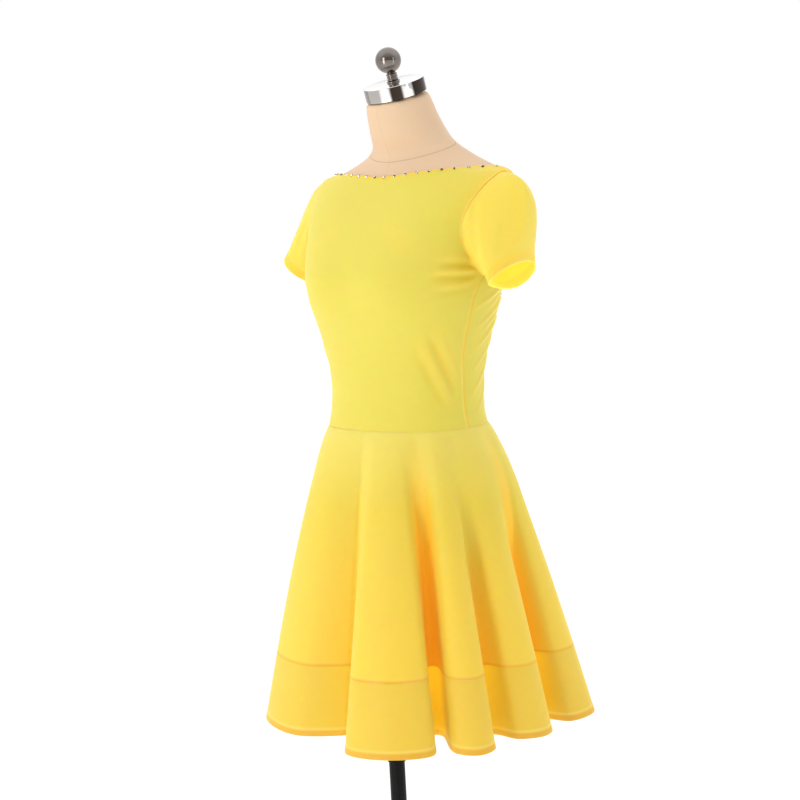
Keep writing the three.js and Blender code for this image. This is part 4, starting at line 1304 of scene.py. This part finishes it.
class DRESS_OT_sleeves(bpy.types.Operator):
    """Two short set-in sleeves with hemmed cuffs."""

    bl_idname = "dress.sleeves"
    bl_label = "Sleeves"

    def execute(self, context):
        build_sleeve("left_sleeve", "sleeve_left", 1, LEFT_CUFF, LEFT_HANG)
        build_sleeve("right_sleeve", "sleeve_right", -1, RIGHT_CUFF, RIGHT_HANG)
        return {"FINISHED"}


class DRESS_OT_skirt(bpy.types.Operator):
    """Flared skirt and its hem band."""

    bl_idname = "dress.skirt"
    bl_label = "Skirt and hem band"

    def execute(self, context):
        build_skirt()
        build_hem_band()
        return {"FINISHED"}


class DRESS_OT_crystals(bpy.types.Operator):
    """Crystals along the neckline and the back edge."""

    bl_idname = "dress.crystals"
    bl_label = "Crystals"

    def execute(self, context):
        own = sizes()
        pitch = own.crystal_pitch / MM
        below_edge = 1.2
        turns = np.linspace(-SIDE, SIDE, 400)
        neck_z = lerp(NECK_FRONT_Z, NECK_SHOULDER_Z, np.sin(np.radians(turns)) ** 2) - below_edge
        normals = body_normal(turns, neck_z)
        path = body_point(turns, neck_z) + normals * own.fold / MM
        set_crystals("neckline_crystals", place_frames(path, normals, pitch, pitch * 0.45))
        table = back_edge_by_length()
        along = np.linspace(BACK_STONES_FROM, 0, 400)
        half_angle = 180 - read_table(table, 2, along)
        half_z = read_table(table, 1, along)
        angle = np.concatenate([half_angle, 360 - half_angle[::-1]])
        z = np.concatenate([half_z, half_z[::-1]])
        normals = body_normal(angle, z)
        path = body_point(angle, z) + normals * 1.2
        set_crystals("back_crystals", place_frames(path, normals, pitch, 0))
        return {"FINISHED"}


class DRESS_OT_form(bpy.types.Operator):
    """Torso and neck of the dress form, rounded off from the frame's own solid."""

    bl_idname = "dress.form"
    bl_label = "Dress form"

    def execute(self, context):
        select_none()
        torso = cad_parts["form_torso"].copy()
        torso.data = torso.data.copy()
        torso.parent = None
        for key in list(torso.keys()):
            del torso[key]
        bpy.context.scene.collection.objects.link(torso)
        torso.name = "form_cover"
        activate(torso)
        bpy.ops.object.mode_set(mode="EDIT")
        bpy.ops.mesh.select_all(action="SELECT")
        bpy.ops.mesh.remove_doubles(threshold=0.02 * MM)
        bpy.ops.mesh.tris_convert_to_quads(face_threshold=math.radians(60), shape_threshold=math.radians(80))
        bpy.ops.object.mode_set(mode="OBJECT")
        smooth = torso.modifiers.new("round", "SUBSURF")
        smooth.levels = 2
        smooth.render_levels = 2
        bpy.ops.object.modifier_apply(modifier=smooth.name)
        bpy.ops.object.shade_smooth()
        torso.data.materials.clear()
        torso.data.materials.append(finish_of("form"))
        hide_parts("form_torso")
        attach(torso, "root")
        return {"FINISHED"}


class DRESS_OT_neck_cap(bpy.types.Operator):
    """Polished cap on the neck and the ball on its ribbed collar."""

    bl_idname = "dress.neck_cap"
    bl_label = "Neck cap and ball"

    def execute(self, context):
        foot, height, radius, edge = NECK_CAP.values()
        cap = [(0, foot)] + arc(radius - edge, foot + edge, edge, -90, 0, 5)
        cap += arc(radius - edge, foot + height - edge, edge, 0, 90, 5) + [(0, foot + height)]
        turned("neck_cap_polished", cap, neck_top(), finish_of("chrome"), "polished_metal", "neck_cap")
        base = foot + height + 0.3
        ball_up, ball, neck = BALL.values()
        profile = [(0, base), (9, base)] + arc(8.4, base + 1.2, 1.2, -60, 90, 5)
        rib_gap = 3.5
        for k in range(3):
            profile += arc(6.8, base + 4.2 + k * rib_gap, 1.35, -90, 90, 6)
        start = -90 + math.degrees(math.asin(neck / ball))
        profile += arc(0, ball_up, ball, start, 90, 28)
        profile[-1] = (0, profile[-1][1])
        turned("ball_finial", profile, neck_top(), finish_of("chrome"), "polished_metal", "finial")
        return {"FINISHED"}


class DRESS_OT_stand(bpy.types.Operator):
    """Outer tube, pole and round base."""

    bl_idname = "dress.stand"
    bl_label = "Stand"

    def execute(self, context):
        here = Matrix.Identity(4)
        coat = finish_of("black")
        top = 699.7
        tube = [(11.9, 411.6), (12.3, 411.0)] + arc(12.5, 411.8, 0.8, -90, 0, 3)
        tube += [(13.3, top - 0.5), (12.8, top), (11.9, top), (11.9, 411.6)]
        turned("outer_tube", tube, here, coat, "stand_metal", "upper_tube")
        pole = [(0, 34.3), (11.5, 34.3), (11.5, 559.0), (10.5, 560.0), (0, 560.0)]
        turned("inner_pole", pole, here, coat, "stand_metal", "pole")
        base = [(0, 0)] + arc(188, 2, 2, -90, 0, 4) + arc(186, 8, 4, 0, 90, 6)
        base += arc(31, 17, 5, -90, -180, 5) + arc(23, 31, 3, 0, 90, 5) + [(0, 34)]
        turned("round_base", base, here, coat, "stand_metal", "base")
        return {"FINISHED"}


class DRESS_OT_stage(bpy.types.Operator):
    """Pale floor, soft lights and the camera at the photograph's angle."""

    bl_idname = "dress.stage"
    bl_label = "Stage"

    def execute(self, context):
        scene = context.scene
        settings = scene.dress_stage
        azimuth = math.radians(45)
        right = Vector((math.cos(azimuth), math.sin(azimuth), 0))
        toward = Vector((math.sin(azimuth), -math.cos(azimuth), 0))
        up = Vector((0, 0, 1))
        distance, eye_height, aim_height, aside = 2.7, 1.25, 0.938, 0.032
        eye = toward * distance + right * aside + up * eye_height
        aim = right * aside + up * aim_height
        roll = math.radians(3)
        forward = (aim - eye).normalized()
        level = forward.cross(up).normalized()
        above = level.cross(forward)
        axis_x = level * math.cos(roll) - above * math.sin(roll)
        axis_y = above * math.cos(roll) + level * math.sin(roll)
        lens = bpy.data.cameras.new("photo_camera")
        lens.sensor_width = 36.0
        lens.lens = 36.0 * 1911 / 800
        camera = bpy.data.objects.new("photo_camera", lens)
        rotation = Matrix((axis_x, axis_y, -forward)).transposed().to_4x4()
        camera.matrix_world = Matrix.Translation(eye) @ rotation
        scene.collection.objects.link(camera)
        scene.camera = camera

        def tall_light(name, power, width, bearing):
            """A strip light on end, 2.6 m from the object, at degrees to the right of the camera."""
            turn = math.radians(bearing)
            light = bpy.data.lights.new(name, "AREA")
            light.energy = power
            light.shape = "RECTANGLE"
            light.size = width
            light.size_y = 2.3
            lamp = bpy.data.objects.new(name, light)
            lamp.location = (toward * math.cos(turn) + right * math.sin(turn)) * 2.6 + up * 1.2
            lamp.rotation_euler = (up * 1.0 - lamp.location).to_track_quat("-Z", "Y").to_euler()
            scene.collection.objects.link(lamp)

        tall_light("left_light", settings.key, 0.7, -42)
        tall_light("right_light", settings.fill, 0.35, 48)

        world = bpy.data.worlds.new("white_surround")
        world.use_nodes = True
        tree = world.node_tree
        direction = add_node(tree, "ShaderNodeTexCoord").outputs["Generated"]

        def along(axis, start, end, low, high):
            """A brightness that turns from low to high as a direction turns towards an axis."""
            dot = {"operation": "DOT_PRODUCT"}
            cosine = add_node(tree, "ShaderNodeVectorMath", dot, _0=direction, _1=axis)
            limits = {"From Min": start, "From Max": end, "To Min": low, "To Max": high}
            smooth = {"interpolation_type": "SMOOTHSTEP"}
            ramp = add_node(tree, "ShaderNodeMapRange", smooth, Value=cosine.outputs["Value"], **limits)
            return ramp.outputs["Result"]

        room = along(toward, 0.1, 0.75, settings.backdrop, settings.studio)
        ceiling = along(up, 0.2, 0.8, 0.0, settings.ceiling)
        total = add_node(tree, "ShaderNodeMath", {"operation": "ADD"}, _0=room, _1=ceiling)
        background = tree.nodes["Background"].inputs
        tree.links.new(total.outputs[0], background["Strength"])
        background["Color"].default_value = hex_colour("#FFFFFF")
        scene.world = world
        scene.view_settings.view_transform = "Standard"
        scene.view_settings.look = "None"

        select_none()
        bpy.ops.mesh.primitive_plane_add(size=40, location=(0, 0, 0))
        floor = context.object
        floor.name = "pale_floor"
        paper = Finish("pale_paper", hex_colour("#FCFCFB"), 0.9)
        floor.data.materials.append(paper.material)
        return {"FINISHED"}


class DRESS_PT_panel(bpy.types.Panel):
    """The dress's pieces, their sizes and the stage."""

    bl_idname = "DRESS_PT_panel"
    bl_label = "Skating dress"
    bl_space_type = "VIEW_3D"
    bl_region_type = "UI"
    bl_category = "Dress"

    def draw(self, context):
        for group in (context.scene.dress_sizes, context.scene.dress_colours, context.scene.dress_stage):
            for key in group.bl_rna.properties.keys():
                if key not in {"rna_type", "name"}:
                    self.layout.prop(group, key)
        for operator in PIECES:
            self.layout.operator(operator.bl_idname)


PIECES = (
    DRESS_OT_form,
    DRESS_OT_neck_cap,
    DRESS_OT_stand,
    DRESS_OT_front,
    DRESS_OT_back,
    DRESS_OT_sleeves,
    DRESS_OT_skirt,
    DRESS_OT_crystals,
    DRESS_OT_stage,
)
GROUPS = {"dress_sizes": DressSizes, "dress_colours": DressColours, "dress_stage": StageSettings}


def register():
    for cls in (*GROUPS.values(), *PIECES, DRESS_PT_panel):
        bpy.utils.register_class(cls)
    for name, group in GROUPS.items():
        setattr(bpy.types.Scene, name, PointerProperty(type=group))


def unregister():
    for name in GROUPS:
        delattr(bpy.types.Scene, name)
    for cls in reversed((*GROUPS.values(), *PIECES, DRESS_PT_panel)):
        bpy.utils.unregister_class(cls)


def main():
    register()
    bpy.ops.dress.form()
    bpy.ops.dress.neck_cap()
    bpy.ops.dress.stand()
    bpy.ops.dress.front()
    bpy.ops.dress.back()
    bpy.ops.dress.sleeves()
    bpy.ops.dress.skirt()
    bpy.ops.dress.crystals()
    bpy.ops.dress.stage()


if __name__ == "__main__":
    main()
